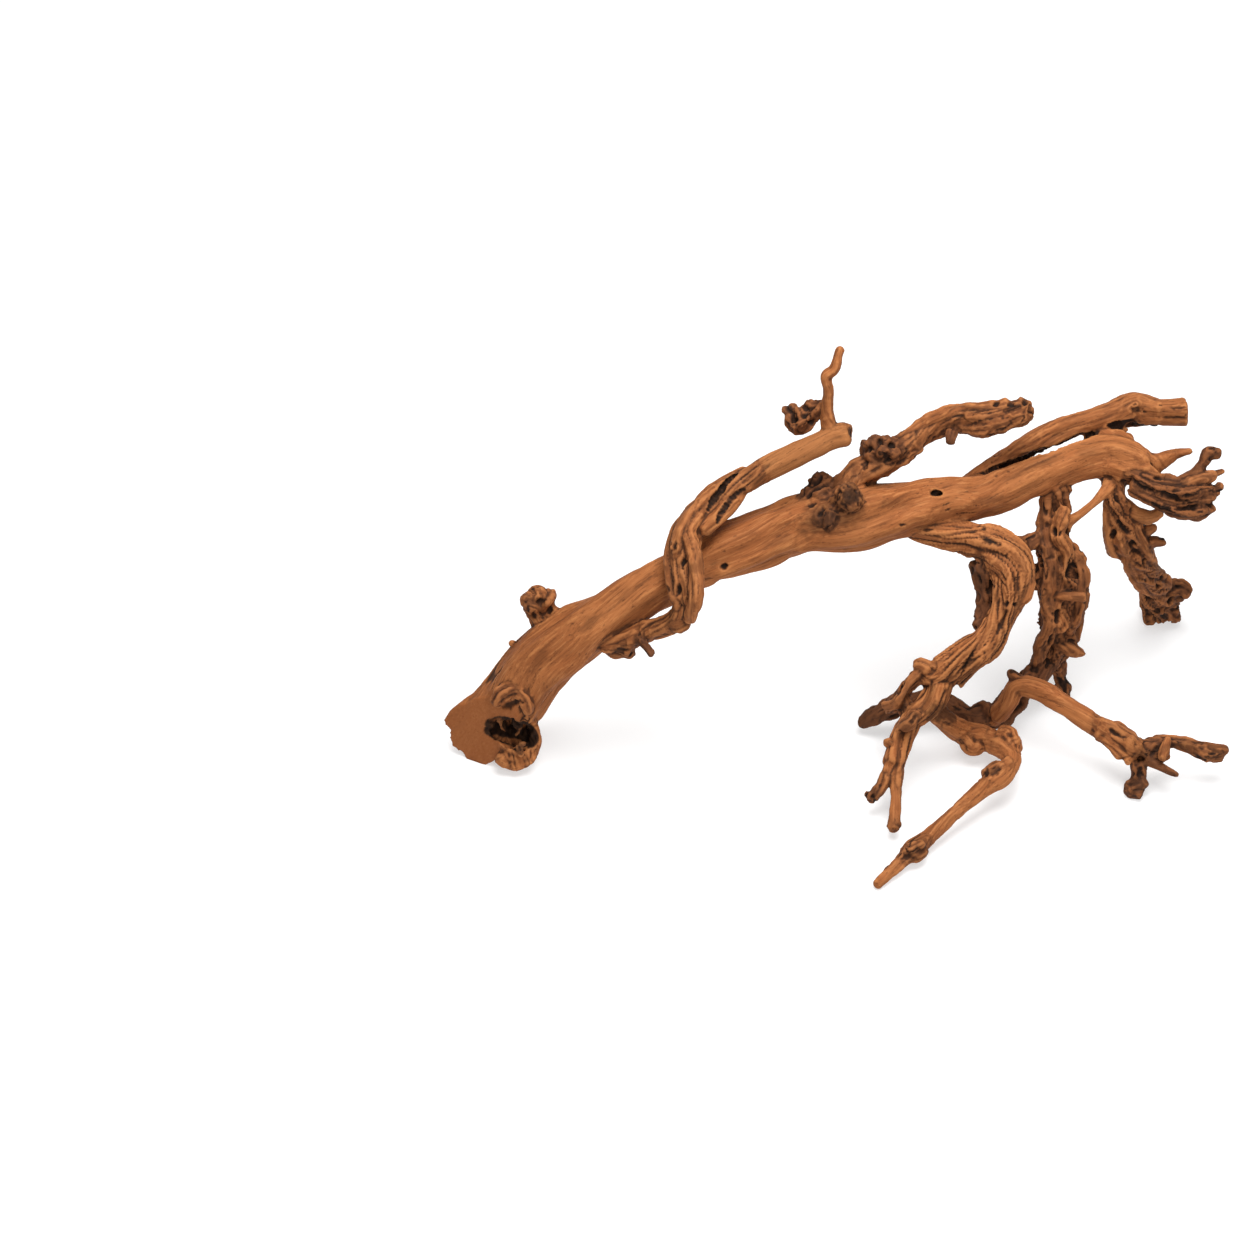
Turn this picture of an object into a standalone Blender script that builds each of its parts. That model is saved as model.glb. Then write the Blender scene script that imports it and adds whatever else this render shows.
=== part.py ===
"""Grapevine wood: one sandblasted piece of old vine, an arched trunk that stands on its sawn butt and on the
branches at its other end. It is modelled whole along the centre lines of its limbs, then parted at its main forks.

Lengths in the tables are in millimetres. The model is in metres, +Z up, with the ground at z = 0.
"""

import math
from collections import namedtuple

import bmesh
import bpy
import numpy as np
from mathutils import Vector
from mathutils.kdtree import KDTree

MM = 0.001
VIEW_ELEVATION = math.radians(40)  # the tables are laid out as seen from this far above the horizon
CENTRE_X = -3.0  # the middle of the footprint in the tables' frame
CENTRE_Y = 224.0

LIMB_STEP, LIMB_SIDES = 4.0, 20  # between the rings along a limb, and points round each ring
HOLLOW_STEP, HOLLOW_SIDES = 9.0, 9  # the same for the hollows
VOXEL = 2.0  # the grid on which the limbs grow together
SMOOTH_PASSES = 2
FACE_BUDGET = 7900  # triangles in the whole piece before it is parted
KERF = 0.3  # the gap left between two parts at a fork
CUT_MARGIN = 20.0  # how far past the limb's own surface a cut looks for the wood that it goes through
CUT_SHIFTS = (0, 0.02, -0.02, 0.04, -0.04, 0.06, -0.06, 0.08, -0.08)
MOST_KERF_FACES = 400  # a cut that leaves more between its two walls has missed one of them
KNIT = 0.001  # points this near to a cut count as lying on it

WOOD_COLOUR = (0.33, 0.135, 0.055, 1.0)
WOOD_ROUGHNESS = 0.75

# A limb's points are (across, up, height, radius). Across and up are where its centre line is seen from the
# viewing angle above, right of the middle and above the foremost foot, and height is above the ground.
# Ridges run along the limb, relief is their height as a share of its radius, and twist is in turns a metre.
# Lumps is the height of its swellings as a share of its radius.
Limb = namedtuple("Limb", "node points ridges relief twist lumps")

LIMBS = {
    "trunk": Limb("trunk", [
        (-360, 152, 36, 34), (-333, 178, 55, 33), (-305, 217, 94, 33), (-270, 245, 127, 30),
        (-230, 271, 156, 25), (-190, 297, 180, 24), (-140, 323, 200, 25), (-90, 342, 215, 28),
        (-40, 360, 225, 29), (5, 365, 230, 33), (60, 376, 232, 29), (110, 384, 232, 24),
        (160, 394, 232, 21), (200, 410, 235, 20), (240, 424, 238, 20), (272, 429, 240, 23),
        (295, 423, 240, 22), (315, 415, 238, 15)], 5, 0.085, 0.7, 0.05),
    "butt_root": Limb("trunk", [
        (-338, 176, 52, 23), (-328, 156, 33, 25), (-322, 138, 20, 24), (-319, 124, 12, 17)], 4, 0.08, 0, 0.06),
    "back_stub": Limb("trunk", [(-292, 250, 121, 13), (-299, 272, 141, 14), (-304, 289, 157, 19)], 4, 0.12, 0, 0.08),
    "nub": Limb("trunk", [(-320, 232, 105, 5), (-331, 244, 115, 3.5)], 3, 0.05, 0, 0),
    "knob": Limb("trunk", [(-6, 376, 250, 12), (3, 383, 262, 11), (11, 390, 274, 12.5)], 5, 0.05, 0, 0.03),
    "burl": Limb("trunk", [(-34, 382, 246, 11), (-20, 395, 252, 13), (-13, 410, 260, 10)], 4, 0.12, 0, 0.12),
    "upper_strand": Limb("trunk", [
        (115, 390, 232, 10), (158, 419, 238, 11), (190, 438, 248, 14), (222, 454, 256, 15),
        (252, 464, 260, 14), (278, 470, 260, 17), (302, 479, 260, 18), (328, 476, 260, 14),
        (354, 476, 260, 14.5)], 3, 0.08, 0.5, 0.04),
    "claw": Limb("claw", [
        (300, 411, 236, 15), (320, 400, 230, 15), (342, 393, 224, 15), (363, 393, 220, 13),
        (380, 395, 218, 9)], 5, 0.14, 2, 0.1),
    "claw_top": Limb("claw", [
        (335, 400, 226, 9), (357, 409, 232, 7.5), (367, 422, 242, 6), (372, 432, 250, 6.5),
        (387, 434, 254, 5.5)], 3, 0.12, 2, 0.12),
    "claw_thorn": Limb("claw", [(345, 402, 228, 7), (370, 409, 228, 5), (391, 416, 230, 3)], 3, 0.1, 2, 0.05),
    "claw_under": Limb("claw", [
        (296, 404, 232, 11), (325, 384, 218, 10), (350, 374, 210, 8.5), (374, 376, 208, 5)], 4, 0.14, 2, 0.1),
    "prong": Limb("trunk", [
        (300, 424, 240, 15), (318, 423, 240, 11), (333, 429, 243, 7.5), (346, 435, 246, 4),
        (355, 436, 248, 1.8)], 3, 0.08, 0, 0.03),
    "droop": Limb("drooping_branch", [
        (278, 414, 230, 14), (280, 387, 208, 12), (288, 365, 182, 15), (297, 345, 154, 17),
        (308, 325, 119, 16), (323, 307, 80, 15), (334, 290, 36, 18), (333, 272, 2.5, 16)], 5, 0.16, 4, 0.14),
    "droop_strand": Limb("drooping_branch", [
        (277, 393, 212, 7), (273, 370, 192, 6), (275, 350, 167, 6.5), (283, 332, 136, 8)], 3, 0.1, 3, 0.06),
    "droop_prong": Limb("drooping_branch", [
        (284, 388, 202, 8), (300, 373, 194, 8), (315, 369, 194, 7.5), (328, 376, 200, 5)], 3, 0.1, 2, 0.08),
    "droop_peg": Limb("drooping_branch", [(298, 353, 167, 7), (315, 356, 171, 5.5), (323, 360, 176, 4)], 3, 0.1, 0, 0.1),
    "droop_snag": Limb("drooping_branch", [(303, 342, 153, 9), (322, 344, 156, 6), (334, 344, 156, 4.5)], 3, 0.1, 0, 0.1),
    "droop_heel": Limb("drooping_branch", [(328, 300, 54, 12), (345, 294, 42, 12), (361, 293, 38, 9)], 4, 0.12, 2, 0.1),
    "leg": Limb("gnarled_leg", [
        (220, 413, 228, 17), (220, 389, 212, 13), (221, 365, 192, 14), (218, 340, 171, 17),
        (224, 315, 147, 20), (227, 285, 114, 19), (225, 257, 83, 18), (220, 235, 60, 16),
        (210, 217, 44, 13)], 5, 0.17, 5, 0.12),
    "leg_toe": Limb("gnarled_leg", [(222, 232, 54, 11), (228, 210, 30, 7.5), (231, 193, 12, 6)], 4, 0.12, 3, 0.1),
    "leg_thorn": Limb("gnarled_leg", [(222, 245, 76, 9), (238, 235, 67, 8), (253, 230, 62, 2.5)], 3, 0.1, 0, 0.05),
    "leg_peg": Limb("gnarled_leg", [(214, 290, 129, 5), (235, 289, 137, 5), (251, 288, 137, 5.5)], 3, 0.05, 0, 0.05),
    "leg_strand": Limb("gnarled_leg", [
        (236, 330, 158, 8), (243, 300, 129, 7.5), (245, 270, 96, 6.5), (238, 243, 68, 8)], 3, 0.1, 3, 0.08),
    "strut": Limb("gnarled_leg", [
        (226, 360, 190, 8), (245, 375, 204, 6), (260, 388, 216, 6.5), (276, 402, 225, 9)], 3, 0.08, 0, 0.04),
    "leg_arm": Limb("gnarled_leg", [
        (214, 343, 176, 11), (196, 345, 184, 9), (179, 340, 188, 8.5), (164, 336, 194, 10)], 3, 0.1, 2, 0.06),
    "limb": Limb("front_limb", [
        (62, 368, 224, 16), (100, 354, 213, 14), (130, 347, 206, 16), (158, 336, 199, 21),
        (174, 315, 186, 23), (172, 291, 169, 19), (162, 265, 149, 16), (148, 242, 129, 17),
        (122, 225, 115, 17), (98, 210, 101, 16), (82, 214, 105, 9)], 5, 0.1, 2.5, 0.05),
    "limb_inner": Limb("front_limb", [
        (145, 325, 188, 13), (148, 295, 158, 11), (146, 270, 141, 9), (137, 256, 134, 6)], 4, 0.12, 2, 0.1),
    "limb_hook": Limb("front_limb", [(140, 224, 109, 7), (130, 209, 98, 3.5), (121, 197, 92, 2.5)], 3, 0.05, 0, 0.05),
    "limb_fringe": Limb("front_limb", [
        (92, 214, 105, 11), (72, 203, 94, 8), (62, 187, 72, 8), (50, 176, 44, 8)], 4, 0.16, 3, 0.12),
    "shin": Limb("front_limb", [(104, 205, 97, 14), (90, 180, 81, 12), (70, 165, 71, 12.5)], 4, 0.1, 2, 0.06),
    "fringe_tie": Limb("front_limb", [(62, 188, 76, 8), (68, 172, 74, 9)], 3, 0.05, 0, 0.1),
    "front_leg": Limb("front_leg", [
        (74, 170, 73, 12), (60, 140, 54, 11.5), (53, 117, 42, 11)], 5, 0.1, 2, 0.05),
    "front_toe_left": Limb("front_leg", [(55, 122, 44, 9), (44, 103, 32, 7.5), (31, 84, 20, 5.5)], 4, 0.14, 2, 0.08),
    "front_toe_right": Limb("front_leg", [
        (57, 120, 42, 9), (57, 103, 34, 7), (56, 83, 25, 6), (53, 54, 12, 6.5)], 3, 0.08, 2, 0.05),
    "low_front": Limb("low_front_branch", [
        (92, 179, 74, 12), (108, 163, 50, 10.5), (128, 151, 28, 12), (150, 145, 25, 12.5),
        (168, 135, 32, 11), (173, 123, 34, 9.5), (162, 108, 33, 11), (145, 97, 29, 9),
        (115, 73, 23, 7.5), (90, 51, 17, 7.5), (73, 37, 14, 10), (57, 22, 9, 7), (33, 1, 4.5, 5.5)], 4, 0.08, 1.5, 0.06),
    "low_root": Limb("low_root", [
        (212, 220, 48, 13), (190, 197, 38, 13), (174, 179, 28, 13), (157, 166, 22, 12),
        (135, 167, 23, 10), (113, 180, 28, 9.5), (92, 185, 34, 9), (65, 179, 35, 9),
        (44, 171, 26, 9), (22, 158, 9, 5)], 4, 0.12, 3, 0.08),
    "low_right": Limb("low_right_branch", [
        (160, 166, 26, 11), (172, 182, 48, 9.5), (181, 198, 64, 10), (202, 195, 64, 11),
        (230, 178, 58, 10.5), (258, 159, 50, 10.5), (282, 143, 42, 13), (300, 129, 34, 12)], 4, 0.06, 1, 0.05),
    "low_right_stub": Limb("low_right_branch", [(187, 200, 66, 8), (172, 214, 74, 5)], 3, 0.05, 0, 0.05),
    "low_right_foot": Limb("low_right_branch", [(300, 124, 30, 10), (301, 105, 14, 8.5), (295, 92, 5, 9)], 4, 0.12, 2, 0.12),
    "low_right_heel": Limb("low_right_branch", [(301, 103, 15, 8), (309, 96, 9, 7)], 4, 0.1, 0, 0.1),
    "low_right_arm": Limb("low_right_branch", [
        (302, 132, 36, 10), (312, 137, 39, 8), (325, 144, 42, 6.5), (345, 141, 40, 7),
        (365, 134, 36, 8.5), (382, 134, 34, 6.5), (393, 135, 33, 4)], 4, 0.1, 2, 0.08),
    "low_right_peg": Limb("low_right_branch", [(308, 126, 34, 7), (320, 119, 32, 5), (341, 109, 26, 3.5)], 3, 0.05, 0, 0.05),
    "twine": Limb("twining_branch", [
        (-240, 240, 132, 9), (-215, 245, 141, 11), (-192, 254, 154, 11), (-170, 261, 169, 11),
        (-157, 275, 190, 11), (-154, 295, 210, 13), (-155, 320, 224, 14), (-154, 345, 238, 15),
        (-143, 368, 250, 14), (-122, 385, 260, 13), (-98, 402, 272, 13), (-70, 418, 285, 13),
        (-40, 432, 297, 12.5), (-10, 446, 307, 12), (10, 453, 312, 13)], 4, 0.07, 1.5, 0.04),
    "twine_left": Limb("twining_branch", [
        (-163, 282, 200, 8), (-169, 310, 216, 7), (-168, 335, 229, 7.5), (-160, 357, 242, 7),
        (-147, 374, 250, 6)], 3, 0.1, 3, 0.05),
    "twine_upper": Limb("twining_branch", [
        (-148, 366, 248, 9), (-133, 388, 258, 8.5), (-113, 404, 268, 7), (-93, 416, 278, 5)], 3, 0.08, 2, 0.05),
    "twine_tongue": Limb("twining_branch", [
        (-140, 353, 246, 8), (-124, 366, 254, 8), (-110, 380, 261, 8.5), (-95, 393, 267, 3.5)], 3, 0.06, 1, 0.04),
    "twine_thorn": Limb("twining_branch", [(-148, 368, 248, 5), (-150, 381, 253, 2.2)], 3, 0, 0, 0),
    "twine_peg": Limb("twining_branch", [(-200, 246, 150, 5.5), (-187, 230, 150, 4)], 3, 0.05, 0, 0.05),
    "twine_burl": Limb("twining_branch", [(-222, 240, 136, 8), (-208, 236, 136, 8.5)], 4, 0.1, 0, 0.1),
    "twig": Limb("upright_twig", [
        (-9, 452, 311, 9), (-13, 474, 330, 6.5), (-12, 494, 350, 5.5), (-15, 508, 364, 6),
        (-6, 515, 370, 5.5), (-2, 530, 382, 5), (1, 538, 388, 4.5)], 3, 0.1, 2, 0.08),
    "twig_gall": Limb("upright_twig", [
        (-14, 478, 330, 6), (-31, 473, 320, 12), (-41, 463, 312, 12.5), (-53, 480, 320, 6)], 5, 0.12, 3, 0.2),
    "back": Limb("back_branch", [
        (-2, 386, 246, 18), (16, 410, 262, 14), (40, 422, 272, 15), (65, 438, 280, 14),
        (90, 456, 288, 12), (117, 466, 295, 13), (145, 464, 299, 16), (170, 469, 304, 14),
        (189, 474, 310, 12)], 4, 0.1, 2, 0.06),
    "back_gall_left": Limb("back_branch", [(36, 428, 272, 12), (28, 438, 284, 9), (24, 446, 290, 5.5)], 4, 0.1, 0, 0.15),
    "back_gall_low": Limb("back_branch", [(40, 424, 270, 12), (46, 434, 284, 12), (47, 440, 288, 7)], 4, 0.1, 0, 0.15),
    "back_gall": Limb("back_branch", [(50, 432, 282, 10), (37, 441, 292, 10), (36, 448, 298, 6)], 4, 0.1, 0, 0.15),
    "back_gall_right": Limb("back_branch", [(52, 434, 280, 11), (54, 444, 288, 8)], 4, 0.1, 0, 0.15),
    "back_spur": Limb("back_branch", [(114, 454, 292, 8), (110, 441, 288, 4)], 3, 0, 0, 0.05),
    "back_knot": Limb("back_branch", [(162, 472, 306, 10), (161, 481, 312, 6)], 4, 0.1, 0, 0.1),
    "back_tip": Limb("back_branch", [(180, 474, 308, 10), (190, 484, 317, 5)], 4, 0.1, 0, 0.1),
}

# Where a node is parted from its neighbour: the limb and how far along it, as a share of its length.
CUTS = [
    ("twine", 0.70), ("twig", 0.16), ("back", 0.29), ("limb", 0.25), ("front_leg", 0.12), ("low_front", 0.07),
    ("leg", 0.12), ("strut", 0.70), ("leg_arm", 0.70), ("low_root", 0.09), ("low_right", 0.15), ("droop", 0.13),
    ("claw", 0.31),
]

# The ends that were sawn: the limb, which end, and the way the cut faces in (right, away, up).
SAWN = {"trunk": (0, (-0.45, -0.87, 0.2)), "upper_strand": (-1, (1, 0.1, 0))}

# Rotted and split wood that is carved away, as limbs are built up: the hollow in the butt, and the long split
# between the trunk and the strand above it.
HOLLOWS = {
    "butt_hollow": Limb("", [
        (-358, 158, 47, 4), (-348, 156, 47, 10), (-335, 152, 45, 13), (-322, 148, 41, 13), (-311, 146, 38, 10),
        (-304, 144, 36, 4)], 3, 0.2, 0, 0.2),
    "split": Limb("", [
        (140, 411, 244, 1.5), (160, 418, 244, 3.5), (180, 424, 246, 5), (205, 433, 249, 5.5), (220, 438, 249, 4),
        (238, 446, 252, 5.5), (255, 453, 256, 5.5), (275, 453, 257, 4.5), (292, 449, 257, 2)], 3, 0.15, 4, 0.2),
    "worm_hole": Limb("", [(92, 398, 262, 1), (98, 394, 258, 3), (101, 389, 244, 3)], 3, 0, 0, 0),
}


def hashed(cell):
    """A value from -1 to 1 for each whole-number cell of a grid, the same on every run."""
    x, y, z = (cell[:, i].astype(np.int64).astype(np.uint64) for i in range(3))
    h = x * np.uint64(374761393) + y * np.uint64(668265263) + z * np.uint64(2246822519)
    h &= np.uint64(0xFFFFFFFF)
    h = ((h ^ (h >> np.uint64(13))) * np.uint64(1274126177)) & np.uint64(0xFFFFFFFF)
    h ^= h >> np.uint64(16)
    return (h & np.uint64(0xFFFF)).astype(float) / 32767.5 - 1.0


def noise(points):
    """Smooth noise from -1 to 1 with bumps about one unit across, at each row of points."""
    low = np.floor(points)
    part = points - low
    part = part * part * (3 - 2 * part)
    total = np.zeros(len(points))
    for corner in range(8):
        step = np.array([corner & 1, corner >> 1 & 1, corner >> 2 & 1])
        weight = np.where(step, part, 1 - part).prod(axis=1)
        total += weight * hashed(low + step)
    return total


def placed(point):
    """A table point in the model's frame, in millimetres."""
    across, up, height = point[:3]
    away = (up - height * math.cos(VIEW_ELEVATION)) / math.sin(VIEW_ELEVATION)
    return np.array([across - CENTRE_X, away - CENTRE_Y, height])


def centre_line(limb, step=LIMB_STEP):
    """(points, radii, distances) of a smooth curve through a limb's table points, a ring's step apart."""
    knots = np.array([[*placed(p), p[3]] for p in limb.points])
    knots = np.vstack([2 * knots[0] - knots[1], knots, 2 * knots[-1] - knots[-2]])
    rows = []
    for a, b, c, d in zip(knots, knots[1:], knots[2:], knots[3:]):
        count = max(1, round(np.linalg.norm((c - b)[:3]) / step))
        t = np.linspace(0, 1, count, endpoint=False)[:, None]
        rows.append(b + (c - a) * t / 2 + (a - 2.5 * b + 2 * c - d / 2) * t**2 + (1.5 * (b - c) + (d - a) / 2) * t**3)
    rows = np.vstack([*rows, knots[-2]])
    steps = np.linalg.norm(np.diff(rows[:, :3], axis=0), axis=1)
    return rows[:, :3], rows[:, 3], np.concatenate([[0], np.cumsum(steps)])


def ring_frames(points):
    """(along, side, top) unit vectors at each point of a curve, carried along it without twisting."""
    along = np.gradient(points, axis=0)
    along /= np.linalg.norm(along, axis=1)[:, None]
    side = np.cross(along[0], (0, 0, 1) if abs(along[0][2]) < 0.9 else (0, 1, 0))
    sides = []
    for way in along:
        side = side - way * (side @ way)
        side = side / np.linalg.norm(side)
        sides.append(side)
    sides = np.array(sides)
    return along, sides, np.cross(along, sides)


def limb_rings(name, limb, step, sides):
    """The rings of a limb's surface, as an array of ring, side and coordinate."""
    points, radii, run = centre_line(limb, step)
    along, side, top = ring_frames(points)
    angle = np.linspace(0, 2 * math.pi, sides, endpoint=False)
    seed = sum(map(ord, name))
    turn = angle[None, :] + 2 * math.pi * limb.twist * MM * run[:, None]
    wander = noise(np.stack([run / 45, run * 0 + seed, run * 0], axis=1))[:, None]
    ridge = np.cos(limb.ridges * turn + 2 * wander + seed) * limb.relief
    ridge += np.cos((limb.ridges + 2) * turn - 3 * wander) * limb.relief * 0.45
    out = np.cos(angle)[None, :, None] * side[:, None, :] + np.sin(angle)[None, :, None] * top[:, None, :]
    surface = points[:, None, :] + out * radii[:, None, None]
    scale = 1.1 * radii[:, None, None]
    swell = noise((surface / scale.clip(6) + seed).reshape(-1, 3)).reshape(ridge.shape) * limb.lumps * 1.6
    rings = points[:, None, :] + out * (radii[:, None] * (1 + ridge + swell))[:, :, None]
    if name in SAWN:
        end, facing = SAWN[name]
        facing = np.array(facing) / np.linalg.norm(facing)
        past = (rings - points[end]) @ facing
        slant = along[end] @ facing
        rings -= np.where(past > 0, past / slant, 0)[:, :, None] * along[end]
        rings[end] -= ((rings[end] - points[end]) @ facing / slant)[:, None] * along[end]
    return rings


def tubes(name, limbs, step, sides):
    """One object that holds a closed tube for each of the limbs."""
    shape = bmesh.new()
    for key, limb in limbs.items():
        loops = [[shape.verts.new(p * MM) for p in ring] for ring in limb_rings(key, limb, step, sides)]
        for low, high in zip(loops, loops[1:]):
            for i in range(sides):
                j = (i + 1) % sides
                shape.faces.new((low[i], low[j], high[j], high[i]))
        shape.faces.new(loops[0][::-1])
        shape.faces.new(loops[-1])
    mesh = bpy.data.meshes.new(name)
    shape.to_mesh(mesh)
    shape.free()
    made = bpy.data.objects.new(name, mesh)
    bpy.context.collection.objects.link(made)
    return made


def grown_together():
    """The whole piece as one closed mesh: every limb's tube, merged on a fine grid, smoothed and thinned out."""
    whole = tubes("limbs", LIMBS, LIMB_STEP, LIMB_SIDES)
    remesh = whole.modifiers.new("grown together", "REMESH")
    remesh.mode = "VOXEL"
    remesh.voxel_size = VOXEL * MM
    smooth = whole.modifiers.new("eased", "SMOOTH")
    smooth.iterations = SMOOTH_PASSES
    faces = len(evaluated(whole).polygons)
    thin = whole.modifiers.new("thinned", "DECIMATE")
    thin.ratio = FACE_BUDGET / (2 * faces)
    cutter = tubes("hollows", HOLLOWS, HOLLOW_STEP, HOLLOW_SIDES)
    cutter.hide_render = True
    cutter.display_type = "WIRE"
    carve = whole.modifiers.new("carved", "BOOLEAN")
    carve.operation = "DIFFERENCE"
    carve.solver = "EXACT"
    carve.object = cutter
    result = bmesh.new()
    result.from_mesh(evaluated(whole))
    bpy.data.objects.remove(whole)
    bpy.data.objects.remove(cutter)
    return result


def evaluated(ob):
    """The mesh of an object with its modifiers applied."""
    return bpy.data.meshes.new_from_object(ob.evaluated_get(bpy.context.evaluated_depsgraph_get()))


def fill_loop(shape, loop):
    """Closes a loop of edges with one flat face."""
    made = bmesh.ops.edgeloop_fill(shape, edges=loop)
    bmesh.ops.triangulate(shape, faces=made["faces"])


def loops_of(edges):
    """The closed loops that a set of edges falls into."""
    left, loops = set(edges), []
    while left:
        loop, front = [], [left.pop()]
        while front:
            edge = front.pop()
            loop.append(edge)
            for vert in edge.verts:
                near = [e for e in vert.link_edges if e in left]
                left.difference_update(near)
                front.extend(near)
        loops.append(loop)
    return loops


def stand_flat(shape):
    """Cuts the feet off flat at the ground."""
    geometry = shape.verts[:] + shape.edges[:] + shape.faces[:]
    cut = bmesh.ops.bisect_plane(
        shape, geom=geometry, plane_co=(0, 0, 0), plane_no=(0, 0, 1), dist=KNIT * MM, clear_inner=True
    )
    edges = [e for e in cut["geom_cut"] if isinstance(e, bmesh.types.BMEdge) and e.is_boundary]
    for loop in loops_of(edges):
        fill_loop(shape, loop)


def cut_near(shape, middle, way, reach):
    """Cuts the faces near a point along a plane through it, and returns the loops of edges made."""
    faces = {f for v in shape.verts if (v.co - middle).length < reach for f in v.link_faces}
    edges = {e for f in faces for e in f.edges}
    verts = {v for f in faces for v in f.verts}
    cut = bmesh.ops.bisect_plane(
        shape, geom=[*verts, *edges, *faces], plane_co=middle, plane_no=way, dist=KNIT * MM
    )
    return loops_of([e for e in cut["geom_cut"] if isinstance(e, bmesh.types.BMEdge)])


def parted(shape, name, share):
    """Parts the piece across one limb, at a share of its length, and leaves a kerf there. True if it is a clean cut."""
    points, radii, run = centre_line(LIMBS[name])
    along = ring_frames(points)[0]
    i = int(np.searchsorted(run, share * run[-1]))
    middle, way = Vector(points[i] * MM), Vector(along[i])
    reach = (2 * radii[i] + CUT_MARGIN) * MM

    def off_centre(loop):
        spots = [v.co for e in loop for v in e.verts]
        return (sum(spots, Vector()) / len(spots) - middle).length

    walls = []
    for side in (-0.5, 0.5):
        loops = cut_near(shape, middle + way * side * KERF * MM, way, reach)
        loop = set(min(loops, key=off_centre))
        if any(sum(e in loop for e in v.link_edges) != 2 for e in loop for v in e.verts):
            return False
        walls.append(loop)
    near_side = middle - way * 0.499 * KERF * MM
    front = {f for e in walls[0] for f in e.link_faces if (f.calc_center_median() - near_side).dot(way) > 0}
    kerf = set()
    while front:
        face = front.pop()
        kerf.add(face)
        open_edges = [e for e in face.edges if e not in walls[0] and e not in walls[1]]
        front |= {f for e in open_edges for f in e.link_faces} - kerf
        if len(kerf) > MOST_KERF_FACES:
            return False
    bmesh.ops.delete(shape, geom=list(kerf), context="FACES")
    for loop in loops_of([e for e in shape.edges if e.is_boundary]):
        fill_loop(shape, loop)
    return True


def part_at(shape, name, share):
    """The piece parted across one limb, as near to a share of its length as a clean cut can be made."""
    for shift in CUT_SHIFTS:
        trial = shape.copy()
        if parted(trial, name, share + shift):
            return trial
    raise ValueError(f"no clean cut across {name}")


def node_of_points():
    """A search tree of every limb's centre line, and the node that each of its entries belongs to."""
    rows = [(p * MM, limb.node) for limb in LIMBS.values() for p in centre_line(limb)[0]]
    tree = KDTree(len(rows))
    for i, (point, _) in enumerate(rows):
        tree.insert(point, i)
    tree.balance()
    return tree, [node for _, node in rows]


def separate_bodies(shape):
    """The faces of each body that the parted piece has fallen into."""
    left, bodies = set(shape.faces), []
    while left:
        body, front = [], [left.pop()]
        while front:
            face = front.pop()
            body.append(face)
            near = {f for e in face.edges for f in e.link_faces if f in left}
            left -= near
            front.extend(near)
        bodies.append(body)
    return bodies


def wood():
    """The wood's plain material."""
    material = bpy.data.materials.new("grapevine_wood")
    material.use_nodes = True
    shader = material.node_tree.nodes["Principled BSDF"]
    shader.inputs["Base Color"].default_value = WOOD_COLOUR
    shader.inputs["Roughness"].default_value = WOOD_ROUGHNESS
    shader.inputs["Metallic"].default_value = 0.0
    return material


def make_node(name, faces, parent):
    """One named object from a body's faces."""
    verts = list({v for f in faces for v in f.verts})
    number = {v: i for i, v in enumerate(verts)}
    mesh = bpy.data.meshes.new(name)
    mesh.from_pydata([v.co for v in verts], [], [[number[v] for v in f.verts] for f in faces])
    mesh.shade_smooth()
    mesh.set_sharp_from_angle(angle=math.radians(50))
    mesh.materials.append(wood())
    node = bpy.data.objects.new(name, mesh)
    node.parent = parent
    bpy.context.collection.objects.link(node)


def main():
    for ob in list(bpy.data.objects):
        bpy.data.objects.remove(ob)
    shape = grown_together()
    stand_flat(shape)
    for name, share in CUTS:
        shape = part_at(shape, name, share)
    bmesh.ops.triangulate(shape, faces=shape.faces[:])
    parent = bpy.data.objects.new("grapevine_wood", None)
    bpy.context.collection.objects.link(parent)
    tree, node_names = node_of_points()
    named = {}
    for body in separate_bodies(shape):
        votes = {}
        for face in body:
            node = node_names[tree.find(face.calc_center_median())[1]]
            votes[node] = votes.get(node, 0) + face.calc_area()
        named.setdefault(max(votes, key=votes.get), []).append(body)
    for name, bodies in named.items():
        make_node(name, max(bodies, key=len), parent)
    print({name: [len(b) for b in bodies] for name, bodies in named.items()})


main()
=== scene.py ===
"""Grapevine wood, dressed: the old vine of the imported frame, remade at a finer grain with its flutes,
cracks, pits and galls, in sandblasted wood.

The limbs are laid out as in the part's own source. Lengths in the tables are in millimetres, and the
scene is in metres, +Z up, with the ground at z = 0.
"""

import math
from collections import namedtuple

import bmesh
import bpy
import numpy as np
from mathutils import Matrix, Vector


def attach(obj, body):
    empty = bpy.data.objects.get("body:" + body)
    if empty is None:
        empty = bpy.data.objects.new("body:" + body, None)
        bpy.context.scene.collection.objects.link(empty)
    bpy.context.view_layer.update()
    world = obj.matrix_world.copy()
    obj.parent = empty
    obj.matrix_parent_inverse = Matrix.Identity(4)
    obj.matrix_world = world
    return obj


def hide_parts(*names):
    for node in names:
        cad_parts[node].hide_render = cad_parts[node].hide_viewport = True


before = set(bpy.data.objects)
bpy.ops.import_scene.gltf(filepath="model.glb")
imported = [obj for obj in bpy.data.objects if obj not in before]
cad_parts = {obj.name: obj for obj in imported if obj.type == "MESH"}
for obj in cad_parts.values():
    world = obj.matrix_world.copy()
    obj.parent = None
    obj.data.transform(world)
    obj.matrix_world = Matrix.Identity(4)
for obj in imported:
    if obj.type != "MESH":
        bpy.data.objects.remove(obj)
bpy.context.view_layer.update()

MM = 0.001
VIEW_ELEVATION = math.radians(40)  # the tables are laid out as seen from this far above the horizon
CENTRE_X = -3.0  # the middle of the footprint in the tables' frame
CENTRE_Y = 224.0

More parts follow.
